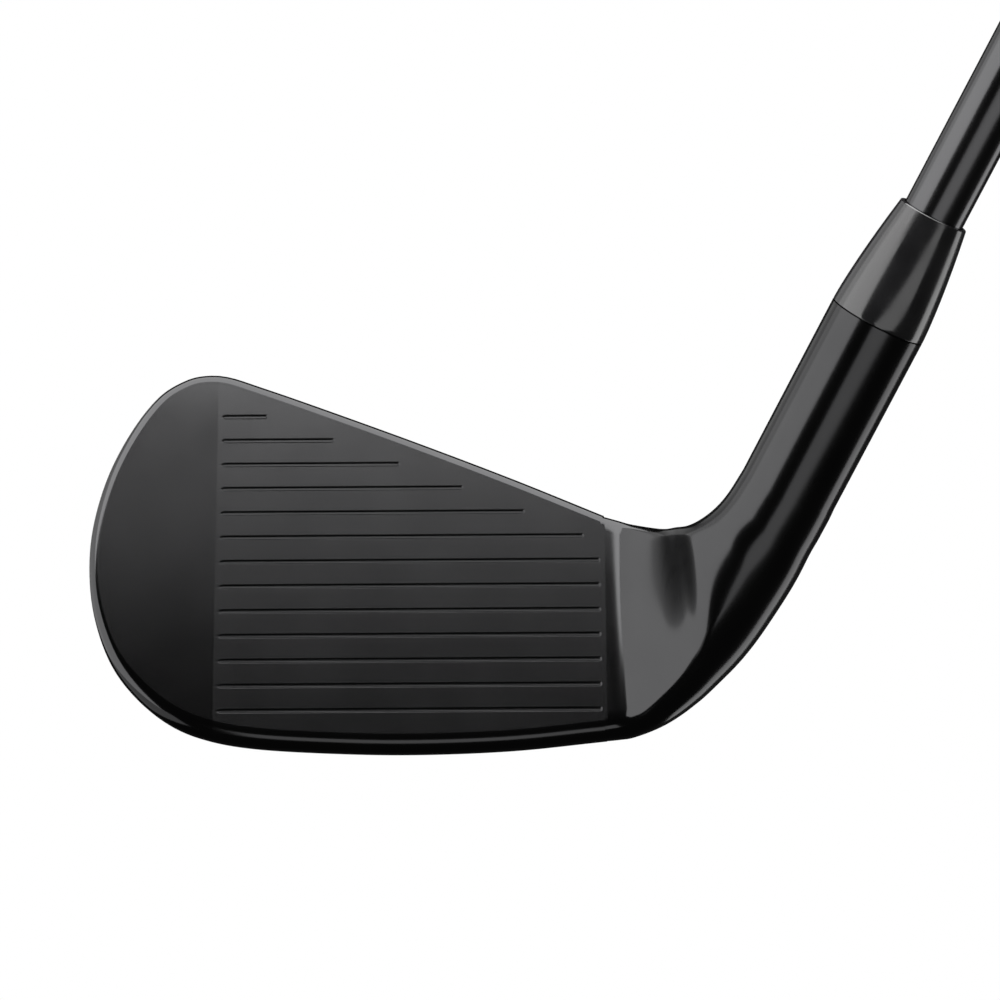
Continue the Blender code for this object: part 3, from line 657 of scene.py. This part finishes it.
# Face plate with its score lines
# A plate of maraging steel welded into the front of the head and ground flush. Thirteen score
# lines are milled into it, with round ends and sloping walls that steepen to a flat floor.

SCORE_COUNT, SCORE_PITCH, SCORE_FIRST = 13, 3.867 * MM, 5.3 * MM
SCORE_TOE, SCORE_HEEL, SCORE_BELOW_TOPLINE = -63.6 * MM, -6.75 * MM, 4.8 * MM
SCORE_SECTION = [
    # depth behind the face and half of the width there, in mm
    (-0.2, 0.44), (0.006, 0.415), (0.155, 0.19), (0.22, 0.15), (0.23, 0.12),
]
SCORE_END_STEPS = 12
SEAM = 0.01 * MM


def score_cutter(index):
    """Cutter of one score line: rings from above its lips down to its floor."""
    height = SCORE_FIRST + index * SCORE_PITCH
    heel = SCORE_HEEL
    while height_on(topline_run, heel) < height + SCORE_BELOW_TOPLINE:
        heel -= SEARCH_STEP
    reach = SCORE_SECTION[0][1] * MM
    bm = bmesh.new()
    rings = []
    for depth, half in SCORE_SECTION:
        ring = []
        for end, start in ((heel - reach, -90), (SCORE_TOE + reach, 90)):
            for step in range(SCORE_END_STEPS + 1):
                angle = math.radians(start + 180 * step / SCORE_END_STEPS)
                x, v = end + half * MM * math.cos(angle), height + half * MM * math.sin(angle)
                ring.append(bm.verts.new(on_head(x, v, depth * MM)))
        rings.append(ring)
    bm.faces.new(rings[0])
    bm.faces.new(rings[-1])
    for near, far in zip(rings, rings[1:]):
        for i in range(len(near)):
            j = (i + 1) % len(near)
            bm.faces.new((near[i], near[j], far[j], far[i]))
    return closed_mesh(bm, f"score_line_{index + 1}")


plate_outline = face_outline(FACE_RIM + SEAM, FACE_HEEL - SEAM)
face_plate = add_piece("face_plate_finished", slab("face_plate", plate_outline, 0, FACE_THICKNESS))
cutters = [score_cutter(index) for index in range(SCORE_COUNT)]
cut_away(face_plate, [add_piece(mesh.name, mesh) for mesh in cutters])
shade(face_plate.data, face_normal)
dress(face_plate, black_coating("blasted_black_face"), "black_face", "face_plate")


# Weights and damping core inside the head
# Sintered tungsten blocks low in the toe and the heel, and a cast polymer core between them
# that quiets the thin face. They are bonded in before the plate is welded on.


def show_solid(node, finish):
    """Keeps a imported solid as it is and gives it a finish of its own."""
    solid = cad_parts[node]
    solid.data.materials.clear()
    solid.data.materials.append(finish)


def follow_grain(tree, shader, noise, tints, roughness):
    """Lets a noise carry the shader's colour and roughness between two ends."""
    tree.links.new(tint(tree, noise, *tints), shader.inputs["Base Color"])
    tree.links.new(swing(tree, noise, *roughness), shader.inputs["Roughness"])


def plain_finish(name, size, detail, tints, roughness, relief, metallic=0):
    """A finish whose colour, roughness and relief all follow one grain of the given size."""
    finish, tree, shader = new_finish(name)
    shader.inputs["Metallic"].default_value = metallic
    place = add_node(tree, "ShaderNodeTexCoord").outputs["Object"]
    noise = grain(tree, place, size, detail)
    follow_grain(tree, shader, noise, tints, roughness)
    roughened(tree, shader, noise, relief)
    return finish


sintered_tungsten = plain_finish(
    "sintered_tungsten", size=0.3 * MM, detail=6, relief=0.02 * MM, metallic=1,
    tints=((0.13, 0.125, 0.12), (0.27, 0.26, 0.25)), roughness=(0.6, 0.35),
)
cast_polymer = plain_finish(
    "cast_polymer", size=1.5 * MM, detail=4, relief=0.03 * MM,
    tints=((0.15, 0.014, 0.014), (0.21, 0.026, 0.024)), roughness=(0.5, 0.7),
)
for weight in ("toe_weight", "heel_weight", "tip_weight"):
    show_solid(weight, sintered_tungsten)
show_solid("damping_core", cast_polymer)


# Back badge
# A thin aluminium plate, brushed along its length and anodised black, set in a shallow recess
# in the upper back. A pressed channel runs round its field and double-sided tape holds it.

BADGE_GAP, BADGE_SINK = 0.25 * MM, 0.15 * MM
BADGE_LEVELS = [
    # inwards from the badge's edge and up from its outer surface, in mm
    (0, -0.5), (0, -0.15), (0.15, 0), (1.2, 0), (1.35, -0.2), (2, -0.2), (2.15, -0.02),
]
BADGE_CORNER, BADGE_LEAST_CORNER, BADGE_CORNER_TAPER = 1.6 * MM, 0.6 * MM, 0.3
BADGE_CORNER_STEPS = 6
BRUSHING_STRETCH = 0.02


def rounded_corners(outline, radius, steps):
    """Outline with each of its corners turned into a small arc."""
    rounded = []
    befores, afters = outline[-1:] + outline[:-1], outline[1:] + outline[:1]
    for before, corner, after in zip(befores, outline, afters):
        start = corner + (before - corner).normalized() * radius
        end = corner + (after - corner).normalized() * radius
        for step in range(steps + 1):
            t = step / steps
            rounded.append(start * (1 - t) ** 2 + corner * 2 * t * (1 - t) + end * t**2)
    return rounded


def badge_plate():
    """Badge with rounded corners, a bevelled edge and a channel round its field."""
    surface = UPPER_THICKNESS - BADGE_SINK
    bm = bmesh.new()
    rings = []
    for inward, rise in BADGE_LEVELS:
        margin = BADGE_GAP + inward * MM
        corner = max(BADGE_CORNER - margin * BADGE_CORNER_TAPER, BADGE_LEAST_CORNER)
        outline = rounded_corners(badge_outline(margin), corner, BADGE_CORNER_STEPS)
        rings.append([bm.verts.new(on_head(x, v, surface + rise * MM)) for x, v in outline])
    for near, far in zip(rings, rings[1:]):
        for i in range(len(near)):
            j = (i + 1) % len(near)
            bm.faces.new((near[i], near[j], far[j], far[i]))
    bm.faces.new(rings[0])
    bm.faces.new(rings[-1])
    return closed_mesh(bm, "back_badge", SHARP_ANGLE)


def brushed_anodised():
    """Black anodised aluminium, brushed along the badge."""
    finish, tree, shader = new_finish("brushed_anodised_badge")
    shader.inputs["Metallic"].default_value = 1
    place = turned_to(tree, face_frame)
    inputs = {"Vector": place, "Scale": (BRUSHING_STRETCH, 1.0, 1.0)}
    stretched = add_node(tree, "ShaderNodeMapping", inputs).outputs[0]
    brushing = grain(tree, stretched, 0.12 * MM, 3)
    tints = ((0.06, 0.06, 0.062), (0.1, 0.1, 0.103))
    follow_grain(tree, shader, brushing, tints, roughness=(0.26, 0.38))
    roughened(tree, shader, brushing, 0.004 * MM)
    return finish


back_badge = add_piece("back_badge_finished", badge_plate())
dress(back_badge, brushed_anodised(), "badge_metal", "back_badge")
foam_tape = plain_finish(
    "foam_tape", size=0.4 * MM, detail=4, relief=0.05 * MM,
    tints=((0.5, 0.5, 0.48), (0.68, 0.68, 0.65)), roughness=(0.8, 0.95),
)
show_solid("badge_adhesive", foam_tape)
show_solid("grip_tape", foam_tape)


# Shaft and its bond in the hosel
# A stepped tube of drawn steel with a satin black coating, 12 steps from the 9.1 mm tip to the
# 15.2 mm butt. Its tip is glued 32 mm deep into the hosel with epoxy.

CLUB_LENGTH = 940 * MM
SHAFT_TIP = HOSEL_TOP - BORE_DEPTH + 0.25 * MM
SHAFT_TIP_RADIUS, SHAFT_BUTT_RADIUS, SHAFT_WALL = 4.55 * MM, 7.62 * MM, 0.5 * MM
SHAFT_STEPS, SHAFT_FIRST_STEP = 12, 230 * MM
SHAFT_STEP_LENGTH, SHAFT_STEP_RISE = 40 * MM, 1.5 * MM
SHAFT_RINGS_IN_STEP = (0, 0.15, 0.5, 0.85, 1)
SHAFT_BUTT = CLUB_LENGTH - 3.75 * MM
SHAFT_SEGMENTS = 96
TUBE_SHARP_ANGLE = math.radians(40)


def shaft_stations(bottom, top):
    """Heights at which the shaft needs a ring: a few for each step, and its two ends."""
    heights = [bottom]
    for step in range(SHAFT_STEPS):
        start = SHAFT_TIP + SHAFT_FIRST_STEP + step * SHAFT_STEP_LENGTH
        for share in SHAFT_RINGS_IN_STEP:
            if bottom < start + share * SHAFT_STEP_RISE < top:
                heights.append(start + share * SHAFT_STEP_RISE)
    return [*heights, top]


def shaft_radius(height):
    """Outer radius of the shaft, which grows by the same amount over each step."""
    above = max((height - SHAFT_TIP - SHAFT_FIRST_STEP) / SHAFT_STEP_LENGTH, 0)
    whole = min(int(above), SHAFT_STEPS - 1)
    rising = ease((above - whole) * SHAFT_STEP_LENGTH / SHAFT_STEP_RISE)
    return mix(SHAFT_TIP_RADIUS, SHAFT_BUTT_RADIUS, (whole + rising) / SHAFT_STEPS)


def shaft_tube():
    """The tube's outside and its bore as one closed skin."""
    heights = shaft_stations(SHAFT_TIP, SHAFT_BUTT)
    profile = [(shaft_radius(height), height) for height in reversed(heights)]
    profile += [(shaft_radius(height) - SHAFT_WALL, height) for height in heights]
    mesh = lathe("shaft", profile, SHAFT_SEGMENTS, TUBE_SHARP_ANGLE)
    mesh.transform(shaft_frame)
    return mesh


def along_shaft(tree, around, along):
    """Shaft coordinates scaled so that a noise is stretched around or along the axis."""
    inputs = {"Vector": turned_to(tree, shaft_frame), "Scale": (around, around, along)}
    return add_node(tree, "ShaderNodeMapping", inputs).outputs[0]


def coated_steel_tube():
    """Satin black coating over a tube that was polished round its axis."""
    finish, tree, shader = new_finish("satin_black_shaft")
    shader.inputs["Metallic"].default_value = 1
    polish = grain(tree, along_shaft(tree, 0.25, 1.0), 0.1 * MM, 3)
    cloudy = grain(tree, along_shaft(tree, 1.0, 0.3), 8 * MM, 4)
    colour = tint(tree, cloudy, (0.08, 0.08, 0.082), (0.095, 0.095, 0.097))
    tree.links.new(colour, shader.inputs["Base Color"])
    polishing_marks = reckon(tree, "MULTIPLY", polish, 0.04)
    rough = reckon(tree, "ADD", swing(tree, cloudy, 0.14, 0.19), polishing_marks)
    tree.links.new(rough, shader.inputs["Roughness"])
    roughened(tree, shader, polish, 0.001 * MM)
    return finish


shaft = add_piece("shaft_finished", shaft_tube())
dress(shaft, coated_steel_tube(), "black_shaft", "shaft")
cured_epoxy = plain_finish(
    "cured_epoxy", size=2 * MM, detail=3, relief=0.02 * MM,
    tints=((0.26, 0.22, 0.12), (0.36, 0.31, 0.2)), roughness=(0.3, 0.45),
)
show_solid("hosel_bond", cured_epoxy)


# Ferrule
# A black plastic sleeve that eases the step from the hosel to the shaft. It is pushed down
# the shaft, turned down flush with the hosel and polished with acetone.

FERRULE_BOTTOM, FERRULE_TOP = HOSEL_TOP + 0.15 * MM, HOSEL_TOP + 17.4 * MM
FERRULE_TOP_RADIUS = SHAFT_TIP_RADIUS + 0.7 * MM
FERRULE_POWER, FERRULE_LIP, FERRULE_FOOT = 1.45, 0.2 * MM, 0.1 * MM
FERRULE_BORE = SHAFT_TIP_RADIUS + 0.15 * MM
FERRULE_ROWS, FERRULE_SEGMENTS = 30, 96
FERRULE_LIP_STEPS, FERRULE_FOOT_STEPS = 6, 4


def edge_round(radius, height, rounding, steps):
    """Quarter circle round a turned piece's upper edge, from its end face down to its side."""
    points = []
    for step in range(steps + 1):
        angle = math.pi / 2 * (1 - step / steps)
        inward, down = 1 - math.cos(angle), 1 - math.sin(angle)
        points.append((radius - rounding * inward, height - rounding * down))
    return points


def ferrule_sleeve():
    """The sleeve, hollowed in its taper and rounded at its lip and its foot."""
    profile = [(FERRULE_BORE, FERRULE_TOP)]
    profile += edge_round(FERRULE_TOP_RADIUS, FERRULE_TOP, FERRULE_LIP, FERRULE_LIP_STEPS)
    for i in range(FERRULE_ROWS - 1, 0, -1):
        share = i / FERRULE_ROWS
        radius = HOSEL_RADIUS - (HOSEL_RADIUS - FERRULE_TOP_RADIUS) * share**FERRULE_POWER
        profile.append((radius, mix(FERRULE_BOTTOM, FERRULE_TOP - FERRULE_LIP, share)))
    foot = edge_round(HOSEL_RADIUS, -FERRULE_BOTTOM, FERRULE_FOOT, FERRULE_FOOT_STEPS)
    profile += [(radius, -height) for radius, height in reversed(foot)]
    profile.append((FERRULE_BORE, FERRULE_BOTTOM))
    mesh = lathe("ferrule", profile, FERRULE_SEGMENTS, TUBE_SHARP_ANGLE)
    mesh.transform(shaft_frame)
    return mesh


def polished_plastic():
    """Glossy black plastic with faint turning marks."""
    finish, tree, shader = new_finish("polished_black_plastic")
    shader.inputs["IOR"].default_value = 1.55
    shader.inputs["Specular IOR Level"].default_value = 0.85
    turning = grain(tree, along_shaft(tree, 0.1, 1.0), 0.15 * MM, 2)
    cloudy = grain(tree, along_shaft(tree, 1.0, 1.0), 5 * MM, 4)
    tints = ((0.006, 0.006, 0.0065), (0.012, 0.012, 0.0125))
    follow_grain(tree, shader, cloudy, tints, roughness=(0.13, 0.2))
    roughened(tree, shader, turning, 0.0015 * MM)
    return finish


ferrule = add_piece("ferrule_finished", ferrule_sleeve())
dress(ferrule, polished_plastic(), "black_plastic", "ferrule")


# Grip
# A slip-on sleeve of moulded rubber over tape, thin at its mouth and thick at the butt. Its
# mould leaves two fields of small diamonds between smooth rings, and a cap closes the end.

GRIP_LENGTH = 267 * MM
GRIP_MOUTH, GRIP_TOP = CLUB_LENGTH - GRIP_LENGTH, CLUB_LENGTH - 3.5 * MM
TAPE_STACK = 0.6 * MM
MOUTH_RUBBER, BUTT_RUBBER = 0.65 * MM, 5 * MM
GRIP_MOUTH_RADIUS = shaft_radius(GRIP_MOUTH) + TAPE_STACK + MOUTH_RUBBER
GRIP_BUTT_RADIUS = SHAFT_BUTT_RADIUS + TAPE_STACK + BUTT_RUBBER
GRIP_POWER = 1.7
GRIP_SEGMENTS, GRIP_ROWS = 128, 480
GRIP_SHARP_ANGLE = math.radians(50)
DIAMONDS_AROUND, DIAMOND_LENGTH, DIAMOND_DEPTH = 20, 7.2 * MM, 0.35 * MM
DIAMOND_FIELDS, FIELD_EDGE = ((0.07, 0.46), (0.5, 0.95)), 0.008  # shares of the grip's length
GROOVE_FLOOR, GROOVE_EDGE = 0.04, 0.3
SMOOTH_RINGS = (0.022, 0.034, 0.046, 0.472, 0.488, 0.965, 0.975)
RING_FLOOR, RING_EDGE = 0.0012, 0.0038
BORE_CLEARANCE = 0.3 * MM


def grip_blank():
    """The sleeve before its pattern, with rings close enough together to carry it."""
    profile = []
    for i in range(GRIP_ROWS, -1, -1):
        share = i / GRIP_ROWS
        radius = mix(GRIP_MOUTH_RADIUS, GRIP_BUTT_RADIUS, share**GRIP_POWER)
        profile.append((radius, mix(GRIP_MOUTH, GRIP_TOP, share)))
    for height in shaft_stations(GRIP_MOUTH, GRIP_TOP):
        profile.append((shaft_radius(height) + TAPE_STACK, height))
    return lathe("grip", profile, GRIP_SEGMENTS, GRIP_SHARP_ANGLE)


def moulded_pattern():
    """Node tree that presses diamonds and rings into a turned sleeve along its own Z axis."""
    tree = bpy.data.node_groups.new("moulded_grip_pattern", "GeometryNodeTree")
    face = tree.interface
    face.new_socket("Geometry", in_out="INPUT", socket_type="NodeSocketGeometry")
    sizes = ("Mouth Height", "Top Height", "Inner Radius", "Diamonds Around")
    for size in (*sizes, "Diamond Length", "Depth"):
        face.new_socket(size, in_out="INPUT", socket_type="NodeSocketFloat")
    face.new_socket("Rubber", in_out="INPUT", socket_type="NodeSocketMaterial")
    face.new_socket("Geometry", in_out="OUTPUT", socket_type="NodeSocketGeometry")
    given = tree.nodes.new("NodeGroupInput").outputs
    place = tree.nodes.new("GeometryNodeInputPosition").outputs[0]
    x, y, z = add_node(tree, "ShaderNodeSeparateXYZ", {0: place}).outputs
    span = reckon(tree, "SUBTRACT", given["Top Height"], given["Mouth Height"])
    share = reckon(tree, "DIVIDE", reckon(tree, "SUBTRACT", z, given["Mouth Height"]), span)
    angle = reckon(tree, "MULTIPLY", reckon(tree, "ARCTAN2", y, x), given["Diamonds Around"])
    turns = reckon(tree, "DIVIDE", z, given["Diamond Length"])
    climb = reckon(tree, "MULTIPLY", turns, 2 * math.pi)
    grooves = 0.0
    for crossing in ("ADD", "SUBTRACT"):
        half = reckon(tree, "MULTIPLY", reckon(tree, crossing, angle, climb), 0.5)
        wave = reckon(tree, "ABSOLUTE", reckon(tree, "COSINE", half))
        groove = fade(tree, wave, GROOVE_FLOOR, GROOVE_EDGE, 1, 0)
        grooves = reckon(tree, "MAXIMUM", grooves, groove)
    fields = 0.0
    for start, end in DIAMOND_FIELDS:
        rise = fade(tree, share, start, start + FIELD_EDGE)
        fall = fade(tree, share, end - FIELD_EDGE, end, 1, 0)
        fields = reckon(tree, "ADD", fields, reckon(tree, "MULTIPLY", rise, fall))
    pressed = reckon(tree, "MULTIPLY", grooves, fields)
    for ring in SMOOTH_RINGS:
        near = reckon(tree, "ABSOLUTE", reckon(tree, "SUBTRACT", share, ring))
        pressed = reckon(tree, "MAXIMUM", pressed, fade(tree, near, RING_FLOOR, RING_EDGE, 1, 0))
    inward = reckon(tree, "MULTIPLY", pressed, reckon(tree, "MULTIPLY", given["Depth"], -1))
    flat = add_node(tree, "ShaderNodeCombineXYZ", {"X": x, "Y": y, "Z": 0.0}).outputs[0]
    radius = add_node(tree, "ShaderNodeVectorMath", {0: flat}, operation="LENGTH").outputs["Value"]
    outside = reckon(tree, "GREATER_THAN", radius, given["Inner Radius"])
    radial = add_node(tree, "ShaderNodeVectorMath", {0: flat}, operation="NORMALIZE").outputs[0]
    offset = add_node(tree, "ShaderNodeVectorMath", {0: radial, "Scale": inward}, operation="SCALE")
    inputs = {"Geometry": given["Geometry"], "Selection": outside, "Offset": offset.outputs[0]}
    pressed_in = add_node(tree, "GeometryNodeSetPosition", inputs).outputs[0]
    real = add_node(tree, "GeometryNodeRealizeInstances", {0: pressed_in}).outputs[0]
    inputs = {"Geometry": real, "Material": given["Rubber"]}
    coloured = add_node(tree, "GeometryNodeSetMaterial", inputs).outputs[0]
    add_node(tree, "NodeGroupOutput", {0: coloured})
    return tree


def moulded_rubber():
    """Matt black rubber with the fine grain of its mould."""
    finish, tree, shader = new_finish("moulded_rubber")
    place = turned_to(tree, shaft_frame)
    fine = grain(tree, place, 0.25 * MM, 5)
    cloudy = grain(tree, place, 12 * MM, 4)
    colour = tint(tree, cloudy, (0.014, 0.014, 0.0145), (0.026, 0.026, 0.027))
    tree.links.new(colour, shader.inputs["Base Color"])
    mould_grain = reckon(tree, "MULTIPLY", fine, 0.1)
    rough = reckon(tree, "ADD", swing(tree, cloudy, 0.55, 0.7), mould_grain)
    tree.links.new(rough, shader.inputs["Roughness"])
    roughened(tree, shader, fine, 0.03 * MM)
    return finish


CAP_FACE = [
    # radius and height over the butt of the club, in mm, from the vent hole outwards
    (2, -0.3), (2.3, 0), (7.6, 0), (7.9, -0.4), (8.9, -0.4), (9.2, 0),
]
CAP_BOTTOM = CLUB_LENGTH - 3.25 * MM
CAP_ROUNDING, CAP_ROUNDING_STEPS, CAP_SEGMENTS = 1.2 * MM, 8, 96


def cap_disc():
    """Closed end of the grip, with a rounded edge, a shallow ring and the vent hole."""
    profile = [(radius * MM, CLUB_LENGTH + rise * MM) for radius, rise in CAP_FACE]
    vent_radius = profile[0][0]
    profile += edge_round(GRIP_BUTT_RADIUS, CLUB_LENGTH, CAP_ROUNDING, CAP_ROUNDING_STEPS)
    profile += [(GRIP_BUTT_RADIUS, CAP_BOTTOM), (vent_radius, CAP_BOTTOM)]
    mesh = lathe("grip_cap", profile, CAP_SEGMENTS, SHARP_ANGLE)
    mesh.transform(shaft_frame)
    return mesh


rubber = moulded_rubber()
grip = add_piece("grip_finished", grip_blank())
pattern = grip.modifiers.new("pattern", "NODES")
pattern.node_group = moulded_pattern()
pattern_sizes = {
    "Mouth Height": GRIP_MOUTH,
    "Top Height": GRIP_TOP,
    "Inner Radius": SHAFT_BUTT_RADIUS + TAPE_STACK + BORE_CLEARANCE,
    "Diamonds Around": float(DIAMONDS_AROUND),
    "Diamond Length": DIAMOND_LENGTH,
    "Depth": DIAMOND_DEPTH,
    "Rubber": rubber,
}
for socket in pattern.node_group.interface.items_tree:
    if socket.in_out == "INPUT" and socket.name in pattern_sizes:
        pattern[socket.identifier] = pattern_sizes[socket.name]
settle(grip)
grip.data.transform(shaft_frame)
dress(grip, rubber, "rubber", "grip")
grip_cap = add_piece("grip_cap_finished", cap_disc())
dress(grip_cap, rubber, "rubber", "grip_cap")


# Studio
# A pale floor under the sole, a white surround and plain soft lights: a large softbox overhead
# whose front edge fades, walls of light at the toe side that dim towards the back, a faint one
# in front and a strip low behind the heel. The floor lights nothing and hides no light.

FLOOR_SIZE = 12
WHITE = (1, 1, 1, 1)
FILL_STRENGTH = 0.03
ground_height = min(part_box("head_body")[0].z, cad_box[0].z)
floor_mesh = bpy.data.meshes.new("floor")
reach = FLOOR_SIZE / 2
corners = [(-reach, -reach), (reach, -reach), (reach, reach), (-reach, reach)]
floor_mesh.from_pydata([(x, y, ground_height) for x, y in corners], [], [(0, 1, 2, 3)])
floor = add_piece("floor", floor_mesh)
pale = bpy.data.materials.new("pale_floor")
pale.use_nodes = True
pale.node_tree.nodes.clear()
glow = add_node(pale.node_tree, "ShaderNodeEmission", {"Color": WHITE, "Strength": 1.0})
add_node(pale.node_tree, "ShaderNodeOutputMaterial", {"Surface": glow.outputs[0]})
floor_mesh.materials.append(pale)
for rays in ("visible_diffuse", "visible_glossy", "visible_transmission", "visible_shadow"):
    setattr(floor, rays, False)

world = bpy.data.worlds.new("white_surround")
bpy.context.scene.world = world
world.use_nodes = True
surround = world.node_tree
surround.nodes.clear()
seen = add_node(surround, "ShaderNodeBackground", {"Color": WHITE, "Strength": 1.0})
fill = add_node(surround, "ShaderNodeBackground", {"Color": WHITE, "Strength": FILL_STRENGTH})
straight = surround.nodes.new("ShaderNodeLightPath").outputs["Is Camera Ray"]
inputs = {0: straight, 1: fill.outputs[0], 2: seen.outputs[0]}
mixed = add_node(surround, "ShaderNodeMixShader", inputs)
add_node(surround, "ShaderNodeOutputWorld", {"Surface": mixed.outputs[0]})


def add_softbox(name, centre, facing, width, height, radiance):
    """Flat soft light facing a direction, its place given from where the shaft's axis meets
    the ground, with its width level."""
    lamp = bpy.data.lights.new(name, "AREA")
    lamp.shape = "RECTANGLE"
    lamp.size, lamp.size_y = width, height
    lamp.energy = radiance * math.pi * width * height
    box = bpy.data.objects.new(name, lamp)
    bpy.context.scene.collection.objects.link(box)
    back = -Vector(facing).normalized()
    level = Vector((0, 0, 1)).cross(back)
    level = level.normalized() if level.length > 0.01 else Vector((1, 0, 0))
    turn = Matrix((level, back.cross(level), back)).transposed().to_4x4()
    box.matrix_world = Matrix.Translation(foot_of_axis + Vector(centre)) @ turn
    box.visible_camera = False


DOWN, TO_HEEL, TO_BACK, UP_TO_TOE = (0, 0, -1), (1, 0, 0), (0, 1, 0), (-0.757, -0.085, 0.63)
OVERHEAD_HEIGHT = 1.3
SOFTBOXES = [
    # name, centre, facing, width, height, radiance
    ("overhead", (0, 0.09, OVERHEAD_HEIGHT), DOWN, 3.0, 1.82, 4.6),
    ("toe_side", (-1.3, -0.375, 0.35), TO_HEEL, 1.65, 1.5, 2.2),
    ("toe_side_back", (-1.3, 0.725, 0.35), TO_HEEL, 0.55, 1.5, 1.4),
    ("toe_side_far", (-1.3, 1.8, 0.35), TO_HEEL, 1.6, 1.5, 0.6),
    ("toe_side_low", (-1.3, -0.6, -0.8), TO_HEEL, 2.0, 0.8, 0.75),
    ("front", (0.49, -1.6, -0.19), TO_BACK, 1.82, 0.62, 1.0),
    ("heel_strip", (1.095, 0.37, -0.82), UP_TO_TOE, 0.6, 1.6, 1.8),
]
FADE_STRIPS, FADE_STEP, FADE_WIDTH, FADE_RADIANCE = 5, 0.03, 1.1, 1.15
FADE_X, FADE_START = -0.05, -0.875

for name, centre, facing, width, height, radiance in SOFTBOXES:
    add_softbox(name, centre, facing, width, height, radiance)
for index in range(FADE_STRIPS):
    centre = (FADE_X, FADE_START - index * FADE_STEP, OVERHEAD_HEIGHT)
    radiance = FADE_RADIANCE * ease(1 - (index + 0.5) / FADE_STRIPS)
    add_softbox(f"overhead_edge_{index + 1}", centre, DOWN, FADE_WIDTH, FADE_STEP, radiance)

CAMERA_LENS, CAMERA_SENSOR, CAMERA_NEAR = 148.6, 36, 0.01
CAMERA_PLACE = (-0.38177, -0.5837, -0.53002)
CAMERA_RIGHT = Vector((0.99998, -0.00153, -0.00616))
CAMERA_UP = Vector((0.00635, 0.24158, 0.97036))
camera_data = bpy.data.cameras.new("studio_camera")
camera_data.lens = CAMERA_LENS
camera_data.sensor_width = CAMERA_SENSOR
camera_data.clip_start = CAMERA_NEAR
camera = bpy.data.objects.new("studio_camera", camera_data)
bpy.context.scene.collection.objects.link(camera)
camera_back = CAMERA_RIGHT.cross(CAMERA_UP).normalized()
camera_level = CAMERA_UP.cross(camera_back).normalized()
turn = Matrix((camera_level, camera_back.cross(camera_level), camera_back)).transposed()
camera.matrix_world = Matrix.Translation(CAMERA_PLACE) @ turn.to_4x4()
bpy.context.scene.camera = camera
bpy.context.scene.view_settings.view_transform = "Standard"

bpy.context.view_layer.update()
